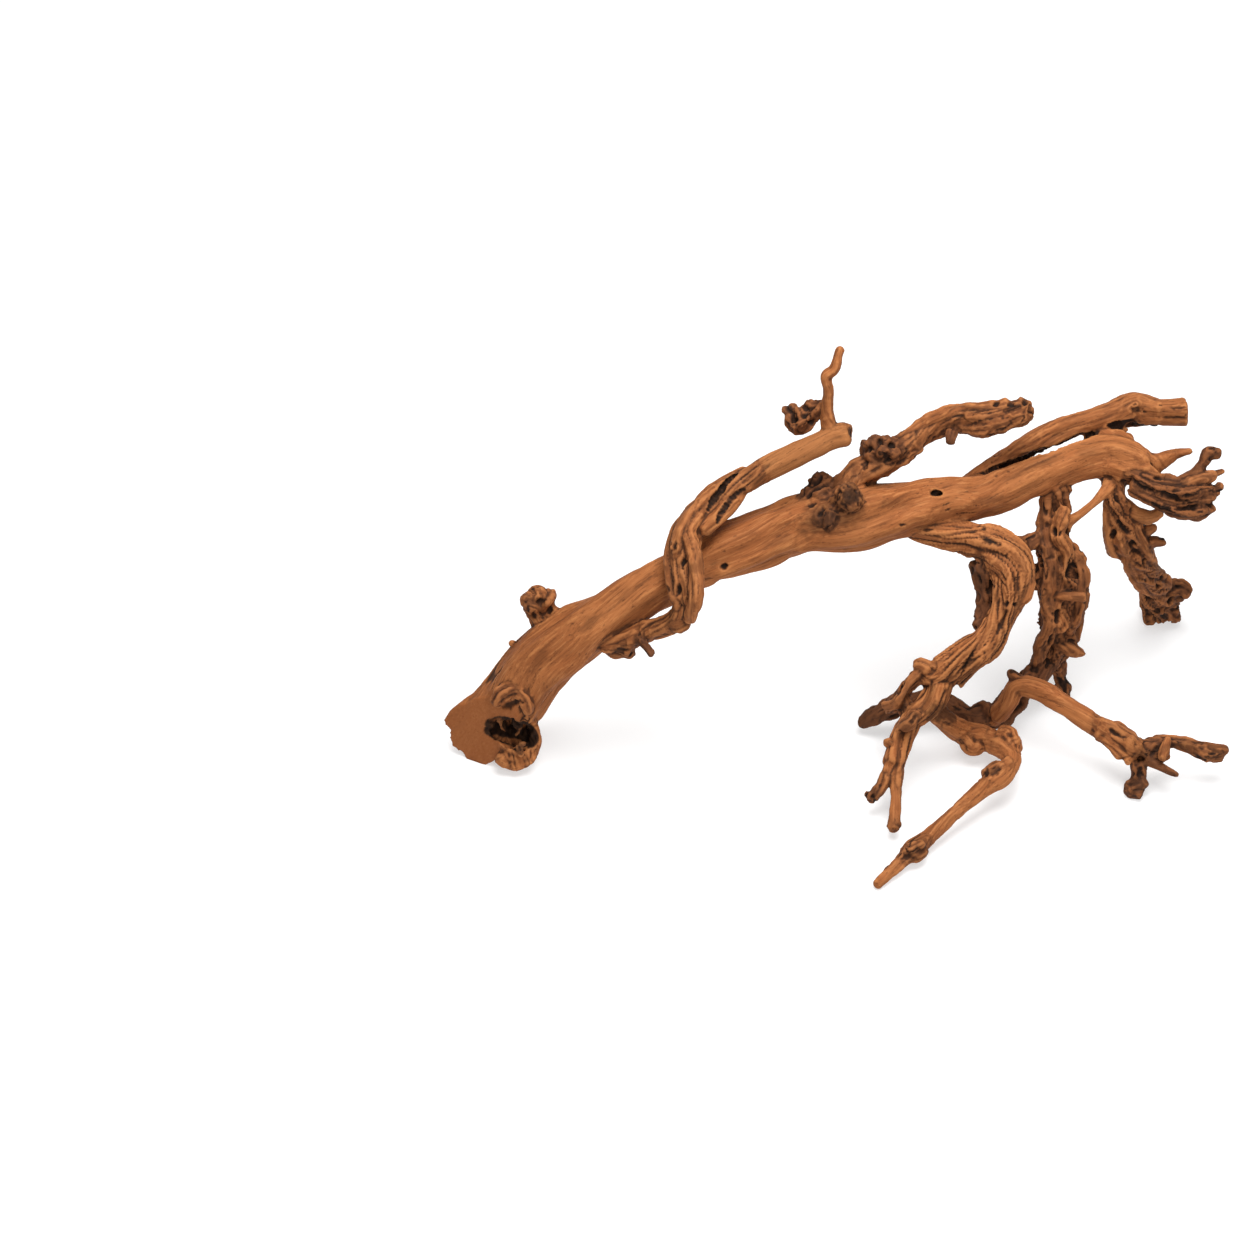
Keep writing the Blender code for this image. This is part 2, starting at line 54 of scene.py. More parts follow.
LIMB_STEP = 2.5  # between the rings along a limb
LIMB_SIDES = 28  # points round each ring
SEARCH_STEP = 4.0  # between the points of a limb's centre line that the surface is measured from
SEARCH_BATCH = 4000  # points of the surface that are measured at once
MOST_TRIANGLES = 196_000  # in one piece
ROUND_END = 0.6  # how long a limb's round end is, as a share of its radius
WANDER = 45.0  # the length of limb in which its ridges wander from side to side
VOXEL = 1.4  # the grid on which the limbs grow together
SMOOTH_PASSES = 4

# How many times a value is averaged with its neighbours' on the surface.
BLEND_PASSES = 32  # for one limb's rot and grooves to run into the next's
NEAR_PASSES, WIDE_PASSES = 4, 40  # for what a small and a wide hollow are measured from
LOCAL_PASSES = 60  # for the usual hollowness of a place
SEED_STEP = 37.7  # between the noise of one limb and the next
GRAIN_SHIFT = 11  # how many seeds apart the grain of two limbs lies in the material

CUT_MARGIN = 20.0  # how far past the limb's own surface a cut looks for the wood that it goes through
CUT_SHIFTS = (0, 0.02, -0.02, 0.04, -0.04, 0.06, -0.06, 0.08, -0.08)
CONE_HEIGHT = 0.3  # of the cones that close a cut, as a share of the limb's radius
KNIT = 0.001  # points this near to a cut count as lying on it

# The wood's colours, from the pale ridges, partly worn and partly painted highlight, down to the painted
# shade at the bottoms of the cracks.
PALE = (0.47, 0.188, 0.062, 1)
SANDY = (0.33, 0.116, 0.037, 1)
WARM = (0.268, 0.086, 0.026, 1)
UMBER = (0.14, 0.045, 0.015, 1)
# dark brown, for flecks in the wood and for painted shade in the hollows
FLECK_AND_SHADE = (0.06, 0.021, 0.0085, 1)
# brown of rot, also painted as shade on the front limb's inner strand
ROT_AND_SHADE_BROWN = (0.09, 0.033, 0.014, 1)
# near black, for painted shade in cracks, pits, holes, seams and the butt's hollow, and for the darkest
# stains
SHADE_AND_STAIN_BLACK = (0.01, 0.005, 0.003, 1)

SENSOR = 36.0
CAMERA_AWAY = 8.0
PICTURE_WIDTH = 1.254  # what the camera sees at the object, from side to side
AIM = (-0.210, -0.0133, 0.160)
FLOOR_REACH = 30.0
FLOOR_GREY = 0.5
FLOOR_GLOW = 0.52
ROOM_LIGHT = 0.28
LIT_POINT = (0, 0, 0.15)
KEY_LIGHT = {"place": (0.15, 0.1, 2.4), "size": 1.8, "power": 86}  # metres and watts
FRONT_LIGHT = {"place": (0.5, -2.2, 1.9), "size": 1.2, "power": 27}

# A limb's points are (across, up, height, radius). Across and up are where its centre line is seen from the
# viewing angle above, right of the middle and above the foremost foot, and height is above the ground.
# Ridges run along the limb, and relief is their height as a share of its radius. Lumps is the height of its
# swellings as a share of its radius, and twist is in turns a metre.
Limb = namedtuple("Limb", "node points ridges relief lumps twist", defaults=(0,))


def limbs_of(node, rows):
    """The limbs that belong to a node, by name."""
    return {name: Limb(node, *row) for name, row in rows.items()}


def by_name(groups):
    """Each limb's value, from the names listed under the value that they share."""
    return {name: value for value, names in groups.items() for name in names.split()}


LIMBS = limbs_of("trunk", {
    "trunk": ([(-358, 152, 36, 30), (-333, 178, 55, 33), (-305, 217, 94, 33), (-270, 245, 127, 30),
        (-230, 271, 156, 25), (-190, 297, 180, 24), (-140, 323, 200, 25), (-90, 342, 215, 28),
        (-40, 360, 225, 29), (5, 365, 230, 33), (60, 376, 232, 29), (110, 384, 232, 24), (160, 394, 232, 21),
        (200, 410, 235, 20), (240, 424, 238, 20), (272, 429, 240, 23), (295, 423, 240, 22),
        (315, 415, 238, 15)], 5, 0.085, 0.05, 0.7),
    "butt_root": ([(-338, 176, 52, 23), (-328, 156, 33, 25), (-322, 138, 20, 24),
        (-319, 124, 12, 17)], 4, 0.08, 0.06),
    "back_stub": ([(-292, 250, 121, 13), (-299, 272, 141, 14), (-304, 289, 157, 19)], 4, 0.12, 0.08),
    "nub": ([(-320, 232, 105, 5), (-331, 244, 115, 3.5)], 3, 0.05, 0),
    "knob": ([(-6, 376, 250, 12), (3, 383, 262, 11), (11, 390, 274, 12.5)], 5, 0.05, 0.03),
    "burl": ([(-34, 382, 246, 11), (-20, 395, 252, 13), (-13, 410, 260, 10)], 4, 0.12, 0.12),
    "upper_strand": ([(115, 390, 232, 10), (158, 419, 238, 11), (190, 438, 248, 14), (222, 454, 256, 15),
        (252, 464, 260, 14), (278, 470, 260, 17), (302, 479, 260, 18), (328, 476, 260, 14),
        (354, 476, 260, 14.5)], 3, 0.08, 0.04, 0.5),
}) | limbs_of("claw", {
    "claw": ([(300, 411, 236, 15), (320, 400, 230, 15), (342, 393, 224, 15), (363, 393, 220, 13),
        (380, 395, 218, 9)], 5, 0.14, 0.1, 2),
    "claw_top": ([(335, 400, 226, 9), (357, 409, 232, 7.5), (367, 422, 242, 6), (372, 432, 250, 6.5),
        (387, 434, 254, 5.5)], 3, 0.12, 0.12, 2),
    "claw_thorn": ([(345, 402, 228, 7), (370, 409, 228, 5), (391, 416, 230, 3)], 3, 0.1, 0.05, 2),
    "claw_under": ([(296, 404, 232, 11), (325, 384, 218, 10), (350, 374, 210, 8.5),
        (374, 376, 208, 5)], 4, 0.14, 0.1, 2),
}) | limbs_of("trunk", {
    "prong": ([(300, 424, 240, 15), (318, 423, 240, 11), (333, 429, 243, 7.5), (346, 435, 246, 4),
        (355, 436, 248, 1.8)], 3, 0.08, 0.03),
}) | limbs_of("drooping_branch", {
    "droop": ([(278, 414, 230, 14), (280, 387, 208, 12), (288, 365, 182, 15), (297, 345, 154, 17),
        (308, 325, 119, 16), (323, 307, 80, 15), (334, 290, 36, 18), (333, 272, 2.5, 16)], 5, 0.16, 0.14, 4),
    "droop_strand": ([(277, 393, 212, 7), (273, 370, 192, 6), (275, 350, 167, 6.5),
        (283, 332, 136, 8)], 3, 0.1, 0.06, 3),
    "droop_prong": ([(284, 388, 202, 8), (300, 373, 194, 8), (315, 369, 194, 7.5),
        (328, 376, 200, 5)], 3, 0.1, 0.08, 2),
    "droop_peg": ([(298, 353, 167, 7), (315, 356, 171, 5.5), (323, 360, 176, 4)], 3, 0.1, 0.1),
    "droop_snag": ([(303, 342, 153, 9), (322, 344, 156, 6), (334, 344, 156, 4.5)], 3, 0.1, 0.1),
    "droop_heel": ([(328, 300, 54, 12), (345, 294, 42, 12), (361, 293, 38, 9)], 4, 0.12, 0.1, 2),
}) | limbs_of("gnarled_leg", {
    "leg": ([(220, 413, 228, 17), (220, 389, 212, 13), (221, 365, 192, 14), (218, 340, 171, 17),
        (224, 315, 147, 20), (227, 285, 114, 19), (225, 257, 83, 18), (220, 235, 60, 16),
        (210, 217, 44, 13)], 5, 0.17, 0.12, 5),
    "leg_toe": ([(222, 232, 54, 11), (228, 210, 30, 7.5), (231, 193, 12, 6)], 4, 0.12, 0.1, 3),
    "leg_thorn": ([(222, 245, 76, 9), (238, 235, 67, 8), (253, 230, 62, 2.5)], 3, 0.1, 0.05),
    "leg_peg": ([(214, 290, 129, 5), (235, 289, 137, 5), (251, 288, 137, 5.5)], 3, 0.05, 0.05),
    "leg_strand": ([(236, 330, 158, 8), (243, 300, 129, 7.5), (245, 270, 96, 6.5),
        (238, 243, 68, 8)], 3, 0.1, 0.08, 3),
    "strut": ([(226, 360, 190, 7), (243, 371, 204, 4.4), (260, 385, 216, 4.4),
        (276, 402, 225, 7.5)], 3, 0.08, 0.04),
    "leg_arm": ([(214, 343, 176, 11), (196, 345, 184, 9), (179, 340, 188, 8.5),
        (164, 336, 194, 10)], 3, 0.1, 0.06, 2),
}) | limbs_of("front_limb", {
    "limb": ([(62, 368, 224, 16), (100, 354, 213, 14), (130, 347, 206, 16), (158, 336, 199, 21),
        (174, 315, 186, 22), (172, 291, 169, 17), (163, 268, 149, 14), (148, 242, 129, 16),
        (122, 225, 115, 17), (98, 210, 101, 16), (82, 214, 105, 9)], 5, 0.1, 0.05, 2.5),
    "limb_inner": ([(145, 325, 188, 13), (148, 295, 158, 11), (146, 270, 141, 9),
        (137, 256, 134, 6)], 4, 0.12, 0.1, 2),
    "limb_hook": ([(140, 224, 109, 7), (130, 209, 98, 3.5), (121, 197, 92, 2.5)], 3, 0.05, 0.05),
    "limb_fringe": ([(92, 214, 105, 11), (72, 203, 94, 8), (62, 187, 72, 8),
        (50, 176, 44, 8)], 4, 0.16, 0.12, 3),
    "shin": ([(104, 205, 97, 14), (90, 180, 81, 12), (70, 165, 71, 12.5)], 4, 0.1, 0.06, 2),
    "fringe_tie": ([(62, 188, 76, 8), (68, 172, 74, 9)], 3, 0.05, 0.1),
}) | limbs_of("front_leg", {
    "front_leg": ([(74, 170, 73, 12), (60, 140, 54, 11.5), (53, 117, 42, 11)], 5, 0.1, 0.05, 2),
    "front_toe_left": ([(55, 122, 44, 9), (44, 103, 32, 7.5), (31, 84, 20, 5.5)], 4, 0.14, 0.08, 2),
    "front_toe_right": ([(57, 120, 42, 9), (57, 103, 34, 7), (56, 83, 25, 6),
        (53, 54, 12, 6.5)], 3, 0.08, 0.05, 2),
}) | limbs_of("low_front_branch", {
    "low_front": ([(92, 179, 74, 12), (108, 163, 50, 10.5), (128, 151, 28, 12), (150, 145, 25, 12.5),
        (168, 135, 32, 11), (173, 123, 34, 9.5), (162, 108, 33, 11), (145, 97, 29, 9), (115, 73, 23, 7.5),
        (90, 51, 17, 7.5), (73, 37, 14, 10), (57, 22, 9, 7), (33, 1, 4.5, 5.5)], 4, 0.08, 0.06, 1.5),
}) | limbs_of("low_root", {
    "low_root": ([(212, 220, 48, 13), (190, 197, 38, 13), (174, 179, 28, 13), (157, 166, 22, 12),
        (135, 167, 23, 10), (113, 180, 28, 9.5), (92, 185, 34, 9), (65, 179, 35, 9), (44, 171, 26, 9),
        (22, 158, 9, 5)], 4, 0.12, 0.08, 3),
}) | limbs_of("low_right_branch", {
    "low_right": ([(160, 166, 26, 11), (172, 182, 48, 9.5), (181, 198, 64, 10), (202, 195, 64, 11),
        (230, 178, 58, 10.5), (258, 159, 50, 10.5), (282, 143, 42, 13),
        (300, 129, 34, 12)], 4, 0.06, 0.05, 1),
    "low_right_stub": ([(187, 200, 66, 8), (172, 214, 74, 5)], 3, 0.05, 0.05),
    "low_right_foot": ([(300, 124, 30, 10), (301, 105, 14, 8.5), (295, 92, 5, 9)], 4, 0.12, 0.12, 2),
    "low_right_heel": ([(301, 103, 15, 8), (309, 96, 9, 7)], 4, 0.1, 0.1),
    "low_right_arm": ([(302, 132, 36, 10), (312, 137, 39, 8), (325, 144, 42, 6.5), (345, 141, 40, 7),
        (365, 134, 36, 8.5), (382, 134, 34, 6.5), (393, 135, 33, 4)], 4, 0.1, 0.08, 2),
    "low_right_peg": ([(308, 126, 34, 7), (320, 119, 32, 5), (341, 109, 26, 3.5)], 3, 0.05, 0.05),
}) | limbs_of("twining_branch", {
    "twine": ([(-240, 240, 132, 9), (-215, 245, 141, 11), (-192, 254, 154, 11), (-170, 261, 169, 11),
        (-157, 275, 190, 11), (-154, 295, 210, 13), (-155, 320, 224, 14), (-154, 345, 238, 15),
        (-143, 368, 250, 14), (-122, 385, 260, 13), (-98, 402, 272, 13), (-70, 418, 285, 13),
        (-40, 432, 297, 12.5), (-10, 446, 307, 12), (10, 453, 312, 13)], 4, 0.07, 0.04, 1.5),
    "twine_left": ([(-163, 282, 200, 8), (-169, 310, 216, 7), (-168, 335, 229, 7.5), (-160, 357, 242, 7),
        (-147, 374, 250, 6)], 3, 0.1, 0.05, 3),
    "twine_upper": ([(-148, 366, 248, 9), (-133, 388, 258, 8.5), (-113, 404, 268, 7),
        (-93, 416, 278, 5)], 3, 0.08, 0.05, 2),
    "twine_tongue": ([(-140, 353, 246, 8), (-124, 366, 254, 8), (-110, 380, 261, 8.5),
        (-95, 393, 267, 3.5)], 3, 0.06, 0.04, 1),
    "twine_thorn": ([(-148, 368, 248, 5), (-150, 381, 253, 2.2)], 3, 0, 0),
    "twine_peg": ([(-200, 246, 150, 5.5), (-187, 230, 150, 4)], 3, 0.05, 0.05),
    "twine_burl": ([(-222, 240, 136, 8), (-208, 236, 136, 8.5)], 4, 0.1, 0.1),
}) | limbs_of("upright_twig", {
    "twig": ([(-9, 452, 311, 9), (-13, 474, 330, 6.5), (-12, 494, 350, 5.5), (-15, 508, 364, 6),
        (-6, 515, 370, 5.5), (-2, 530, 382, 5), (1, 538, 388, 4.5)], 3, 0.1, 0.08, 2),
    "twig_gall": ([(-14, 478, 330, 6), (-31, 473, 320, 12), (-41, 463, 312, 12.5),
        (-53, 480, 320, 6)], 5, 0.12, 0.2, 3),
}) | limbs_of("back_branch", {
    "back": ([(-2, 386, 246, 18), (16, 410, 262, 14), (40, 422, 272, 15), (65, 438, 280, 14),
        (90, 456, 288, 12), (117, 466, 295, 13), (145, 464, 299, 16), (170, 469, 304, 14),
        (189, 474, 310, 12)], 4, 0.1, 0.06, 2),
    "back_gall_left": ([(36, 428, 272, 12), (28, 438, 284, 9), (24, 446, 290, 5.5)], 4, 0.1, 0.15),
    "back_gall_low": ([(40, 424, 270, 12), (46, 434, 284, 12), (47, 440, 288, 7)], 4, 0.1, 0.15),
    "back_gall": ([(50, 432, 282, 10), (37, 441, 292, 10), (36, 448, 298, 6)], 4, 0.1, 0.15),
    "back_gall_right": ([(52, 434, 280, 11), (54, 444, 288, 8)], 4, 0.1, 0.15),
    "back_spur": ([(114, 454, 292, 8), (110, 441, 288, 4)], 3, 0, 0.05),
    "back_knot": ([(162, 472, 306, 10), (161, 481, 312, 6)], 4, 0.1, 0.1),
    "back_tip": ([(180, 474, 308, 10), (190, 484, 317, 5)], 4, 0.1, 0.1),
})

# Where a node is parted from its neighbour: the limb and how far along it, as a share of its length.
CUTS = [
    ("twine", 0.70), ("twig", 0.16), ("back", 0.29), ("limb", 0.25), ("front_leg", 0.12),
    ("low_front", 0.07), ("leg", 0.12), ("strut", 0.70), ("leg_arm", 0.70), ("low_root", 0.09),
    ("low_right", 0.15), ("droop", 0.13), ("claw", 0.31),
]

# The ends that were sawn: the limb, which end, and the way the cut faces in (right, away, up).
BUTT_FACING = (-0.45, -0.87, 0.2)
SAWN = {
    "trunk": (0, BUTT_FACING), "butt_shoulder": (-1, BUTT_FACING), "butt_side": (-1, BUTT_FACING),
    "upper_strand": (-1, (1, 0.1, 0)),
}

# Rotted and split wood that is carved away, as limbs are built up: the hollow in the butt, the long split
# between the trunk and the strand above it, the gap at the trunk's forked end, furrows, and worm holes.
HOLLOWS = limbs_of("", {
    "butt_hollow": ([(-358, 158, 47, 4), (-348, 156, 47, 10), (-335, 152, 45, 13), (-322, 148, 41, 13),
        (-311, 146, 38, 10), (-304, 144, 36, 4)], 3, 0.2, 0.2),
    "split": ([(140, 411, 244, 1.5), (160, 418, 244, 3.5), (180, 424, 246, 5), (205, 433, 249, 5.5),
        (220, 438, 249, 4), (238, 446, 252, 5.5), (254, 452, 256, 4),
        (262, 454, 257, 1.5)], 3, 0.15, 0.2, 4),
    "worm_hole": ([(92, 398, 262, 1), (98, 394, 258, 3), (101, 389, 244, 3)], 3, 0, 0),
    "butt_mouth": ([(-362, 160, 50, 3), (-352, 157, 50, 9), (-340, 154, 49, 14), (-326, 151, 46, 15),
        (-313, 149, 43, 13), (-304, 148, 40, 7)], 5, 0.26, 0.6, 12),
    "butt_gap": ([(-338, 150, 44, 7), (-326, 143, 42, 11), (-314, 137, 41, 11), (-304, 133, 40, 8),
        (-297, 131, 40, 4)], 5, 0.25, 0.5, 10),
    "butt_depth": ([(-350, 156, 38, 8), (-338, 153, 36, 12), (-324, 150, 34, 13),
        (-312, 148, 32, 10)], 3, 0.2, 0.3),
    "split_mouth": ([(148, 413, 246, 1.5), (166, 419, 247, 2.8), (185, 426, 250, 3.6), (205, 432, 252, 4),
        (222, 438, 253, 4), (240, 446, 255, 4.5), (256, 452, 257, 3.5),
        (263, 455, 258, 1.5)], 3, 0.1, 0.15, 4),
    "split_depth": ([(160, 417, 238, 3), (182, 425, 240, 5.5), (205, 432, 241, 6.5), (225, 439, 242, 6.5),
        (245, 447, 244, 6), (258, 452, 246, 3)], 3, 0.1, 0.15, 4),
    "notch": ([(274, 462, 264, 2), (284, 462, 261, 4.5), (294, 462, 258, 5.5), (306, 460, 256, 8),
        (322, 455, 254, 10)], 3, 0.1, 0.2),
    "notch_depth": ([(282, 462, 254, 3), (293, 462, 250, 5.5), (306, 455, 244, 8.5),
        (322, 454, 242, 10)], 3, 0.1, 0.2),
    "twine_furrow": ([(-158, 284, 216, 1.5), (-160, 300, 228, 2.8), (-160, 318, 240, 3.4),
        (-161, 336, 250, 3), (-156, 352, 258, 1.5)], 3, 0.2, 0.3, 6),
    "twine_groove_left": ([(-96, 415, 285, 1.6), (-112, 403, 278, 3.2), (-126, 386, 269, 3.4),
        (-133, 372, 262, 2)], 3, 0.1, 0.1),
    "twine_groove_right": ([(-93, 398, 275, 1.6), (-108, 387, 270, 3.2), (-119, 372, 263, 3.2),
        (-122, 362, 256, 2)], 3, 0.1, 0.1),
    "strand_gap": ([(240, 268, 112, 2), (239, 260, 104, 3), (237, 252, 94, 3),
        (236, 246, 86, 2)], 3, 0.2, 0.2),
    "worm_tunnel": ([(90, 398, 264, 1), (95, 394, 258, 3), (99, 390, 246, 3)], 3, 0, 0),
})

# Finer limbs than the solids have: strands, galls, knuckles and broken ends.
DETAILS = limbs_of("trunk", {
    "butt_lip": ([(-344, 128, 20, 7), (-334, 123, 14, 8), (-322, 122, 13, 8), (-311, 126, 16, 7),
        (-307, 134, 22, 5)], 4, 0.12, 0.15),
    "butt_knot": ([(-346, 178, 78, 6), (-339, 190, 88, 7.5), (-327, 195, 90, 7.5), (-316, 184, 82, 6.5),
        (-311, 170, 70, 5)], 4, 0.12, 0.15),
    "plate": ([(254, 457, 252, 5), (264, 454, 252, 9), (276, 448, 250, 11), (287, 443, 247, 12),
        (293, 431, 243, 12)], 3, 0.06, 0.05),
    "corner": ([(280, 440, 246, 10), (291, 447, 247, 9), (295, 451, 247, 6)], 3, 0.06, 0.05),
    "prong_tip": ([(326, 427, 241, 8), (342, 433, 245, 5.5), (358, 436, 248, 3.2)], 3, 0.06, 0.05),
}) | limbs_of("front_limb", {
    "limb_lobe": ([(176, 332, 194, 11), (183, 313, 185, 12), (185, 295, 175, 10),
        (180, 281, 165, 6)], 3, 0.1, 0.08),
    "shoulder": ([(92, 216, 112, 8), (82, 220, 114, 7), (75, 218, 110, 5)], 3, 0.12, 0.12),
    "fringe_left": ([(80, 212, 108, 6), (66, 196, 96, 5), (58, 182, 84, 5.5),
        (44, 178, 70, 4)], 3, 0.12, 0.15, 2),
}) | limbs_of("low_root", {
    "fringe_low": ([(46, 172, 26, 8), (34, 168, 20, 7.5), (24, 160, 12, 6)], 4, 0.16, 0.2, 2),
}) | limbs_of("front_leg", {
    "shin_knot": ([(78, 172, 84, 7), (70, 163, 82, 8), (62, 158, 74, 7)], 4, 0.12, 0.15),
    "leg_nub": ([(54, 140, 56, 7), (44, 144, 60, 4)], 3, 0, 0.1),
    "toe_heel": ([(34, 92, 24, 7), (30, 84, 20, 7.5)], 4, 0.15, 0.15),
    "toe_ball": ([(54, 66, 16, 6.5), (53, 56, 12.5, 7.5)], 4, 0.12, 0.12),
}) | limbs_of("low_front_branch", {
    "front_knuckle": ([(165, 118, 36, 11.5), (156, 112, 34, 12), (146, 104, 30, 10)], 4, 0.08, 0.14),
    "front_elbow": ([(160, 148, 32, 12), (171, 146, 34, 12.5), (176, 134, 35, 10)], 4, 0.08, 0.1),
    "front_bump": ([(128, 145, 26, 10), (136, 137, 20, 8.5), (146, 138, 22, 8)], 3, 0.1, 0.12),
    "front_gall": ([(82, 43, 17, 9.5), (72, 35, 15, 11), (62, 27, 11, 8.5)], 4, 0.08, 0.16),
    "front_nub": ([(50, 18, 8, 5), (43, 18, 10, 2.6)], 3, 0, 0),
}) | limbs_of("low_right_branch", {
    "eye_knuckle": ([(258, 160, 50, 11), (276, 149, 47, 15), (291, 138, 42, 15),
        (302, 131, 36, 12)], 4, 0.1, 0.14),
    "fork_block": ([(304, 137, 36, 13), (318, 134, 38, 13), (331, 139, 42, 9)], 4, 0.12, 0.16),
    "fork_strand": ([(331, 147, 50, 4), (327, 136, 48, 5.5), (322, 124, 42, 4.5)], 3, 0, 0.1),
    "fork_nub": ([(292, 124, 36, 6), (287, 121, 34, 4)], 3, 0, 0.1),
    "arm_end": ([(362, 135, 38, 8.5), (374, 130, 34, 8), (388, 132, 33, 6)], 4, 0.14, 0.2),
    "foot_knuckle": ([(300, 100, 12, 9.5), (294, 95, 8, 9), (306, 93, 7, 8.5)], 4, 0.12, 0.2),
}) | limbs_of("twining_branch", {
    "twine_end": ([(-104, 398, 269, 9), (-90, 407, 276, 11.6), (-70, 418, 285, 13.3), (-40, 432, 297, 12.9),
        (-10, 446, 307, 12.4), (6, 451, 311, 13), (12, 452, 312, 12)], 4, 0.03, 0.03, 1.5),
    "twine_right": ([(-151, 264, 184, 6), (-146, 280, 210, 7.5), (-144, 300, 224, 8), (-146, 330, 240, 8),
        (-151, 352, 251, 7), (-140, 372, 259, 6)], 3, 0.08, 0.12, 2),
    "twine_crest": ([(-165, 332, 238, 6), (-158, 356, 252, 7), (-143, 378, 262, 7), (-122, 396, 272, 6),
        (-102, 410, 280, 5)], 3, 0.1, 0.12, 2),
    "twine_elbow": ([(-174, 262, 168, 7), (-161, 261, 176, 9), (-152, 266, 182, 9)], 4, 0.1, 0.15),
}) | limbs_of("trunk", {
    "twine_spur": ([(-238, 242, 130, 8), (-224, 234, 126, 6.5), (-205, 232, 128, 7)], 4, 0.12, 0.15),
    "stub_left": ([(-303, 280, 154, 13), (-313, 284, 160, 9), (-320, 283, 160, 5.5)], 4, 0.12, 0.12),
    "stub_top": ([(-302, 284, 156, 13), (-300, 292, 162, 11), (-297, 297, 165, 8)], 4, 0.12, 0.12),
    "stub_right": ([(-297, 280, 154, 12), (-288, 288, 160, 9), (-284, 288, 160, 6)], 4, 0.12, 0.12),
    "burl_low": ([(-8, 386, 252, 9), (-17, 376, 250, 9), (-20, 364, 246, 8)], 4, 0.15, 0.2),
    "burl_side": ([(-4, 372, 252, 8), (-9, 364, 249, 7.5), (-14, 356, 244, 6)], 4, 0.15, 0.2),
    "burl_top": ([(-26, 388, 250, 9), (-16, 388, 256, 9), (-7, 394, 262, 8)], 4, 0.15, 0.2),
    "knob_rim": ([(2, 382, 262, 12.5), (8, 387, 270, 15), (12, 390, 276, 15),
        (15, 392, 280, 12)], 5, 0.04, 0.04),
}) | limbs_of("back_branch", {
    "gall_a": ([(34, 440, 290, 7), (24, 442, 296, 5.5)], 3, 0.1, 0.2),
    "gall_b": ([(38, 442, 292, 8), (34, 450, 301, 6)], 3, 0.1, 0.2),
    "gall_c": ([(46, 440, 290, 8), (46, 448, 300, 5.5)], 3, 0.1, 0.2),
    "gall_d": ([(52, 438, 288, 8), (58, 446, 296, 6)], 3, 0.1, 0.2),
    "gall_e": ([(50, 430, 286, 9), (61, 434, 290, 6.5)], 3, 0.1, 0.2),
    "gall_f": ([(36, 430, 284, 9), (26, 432, 288, 6)], 3, 0.1, 0.2),
    "gall_g": ([(44, 432, 288, 8), (42, 434, 298, 6)], 3, 0.1, 0.2),
    "back_ridge": ([(60, 446, 288, 5), (82, 462, 298, 6), (104, 472, 304, 7), (122, 477, 308, 6),
        (148, 476, 311, 7), (172, 482, 316, 7)], 3, 0.1, 0.14),
    "back_end": ([(172, 472, 306, 12), (186, 478, 312, 11), (192, 482, 315, 8)], 4, 0.12, 0.2),
}) | limbs_of("gnarled_leg", {
    "leg_left": ([(214, 398, 222, 7), (208, 372, 204, 7), (208, 345, 184, 8), (214, 318, 162, 8),
        (211, 288, 130, 8), (216, 262, 104, 8), (206, 236, 74, 8), (202, 220, 54, 7)], 3, 0.12, 0.2, 2),
    "leg_middle": ([(228, 380, 216, 7), (222, 352, 194, 8), (231, 330, 172, 8), (226, 302, 142, 8),
        (218, 278, 118, 8), (226, 252, 94, 7)], 3, 0.12, 0.2, 2),
    "leg_bulge": ([(205, 320, 150, 9), (200, 310, 142, 10), (204, 296, 130, 9)], 4, 0.12, 0.2),
    "leg_right": ([(232, 340, 172, 7), (244, 322, 156, 7), (247, 298, 134, 7), (243, 272, 108, 7),
        (232, 254, 88, 7)], 3, 0.12, 0.2, 2),
    "leg_foot": ([(228, 206, 26, 8), (232, 194, 12, 8.5), (228, 188, 5, 7)], 4, 0.14, 0.2),
}) | limbs_of("drooping_branch", {
    "droop_left": ([(288, 372, 192, 8), (286, 352, 172, 9), (294, 334, 146, 8), (304, 316, 112, 9),
        (318, 298, 72, 9)], 3, 0.14, 0.2, 2),
    "droop_right": ([(292, 380, 198, 8), (302, 358, 176, 8), (310, 338, 148, 9), (322, 318, 104, 8),
        (336, 302, 66, 10)], 3, 0.14, 0.2, 2),
    "droop_toe": ([(336, 288, 36, 14), (346, 276, 18, 12), (352, 280, 18, 9)], 4, 0.14, 0.2),
    "droop_lobe": ([(340, 296, 48, 12), (354, 298, 48, 10), (364, 290, 40, 8)], 4, 0.14, 0.2),
}) | limbs_of("claw", {
    "claw_ridge": ([(334, 399, 231, 7), (346, 399, 231, 8), (364, 406, 232, 7),
        (382, 412, 236, 5)], 3, 0.1, 0.1),
    "claw_edge": ([(336, 384, 218, 7), (354, 384, 216, 8), (374, 392, 218, 6.5),
        (388, 402, 224, 5)], 3, 0.1, 0.1),
    "claw_low": ([(340, 374, 205, 6.5), (362, 370, 202, 6.5), (380, 380, 206, 5)], 3, 0.1, 0.1),
    "claw_finger": ([(368, 424, 244, 7), (374, 434, 252, 7.5), (380, 430, 250, 6)], 3, 0.1, 0.2),
}) | limbs_of("low_root", {
    "root_knee": ([(155, 168, 26, 11), (148, 175, 28, 9), (140, 170, 26, 9)], 4, 0.12, 0.15),
}) | limbs_of("trunk", {
    "butt_shoulder": ([(-325, 198, 74, 16), (-355, 183, 57, 15), (-382, 166, 42.5, 12)], 4, 0.03, 0.03),
    "butt_side": ([(-335, 184, 64, 20), (-372, 157, 36.5, 13)], 4, 0.02, 0.02),
})
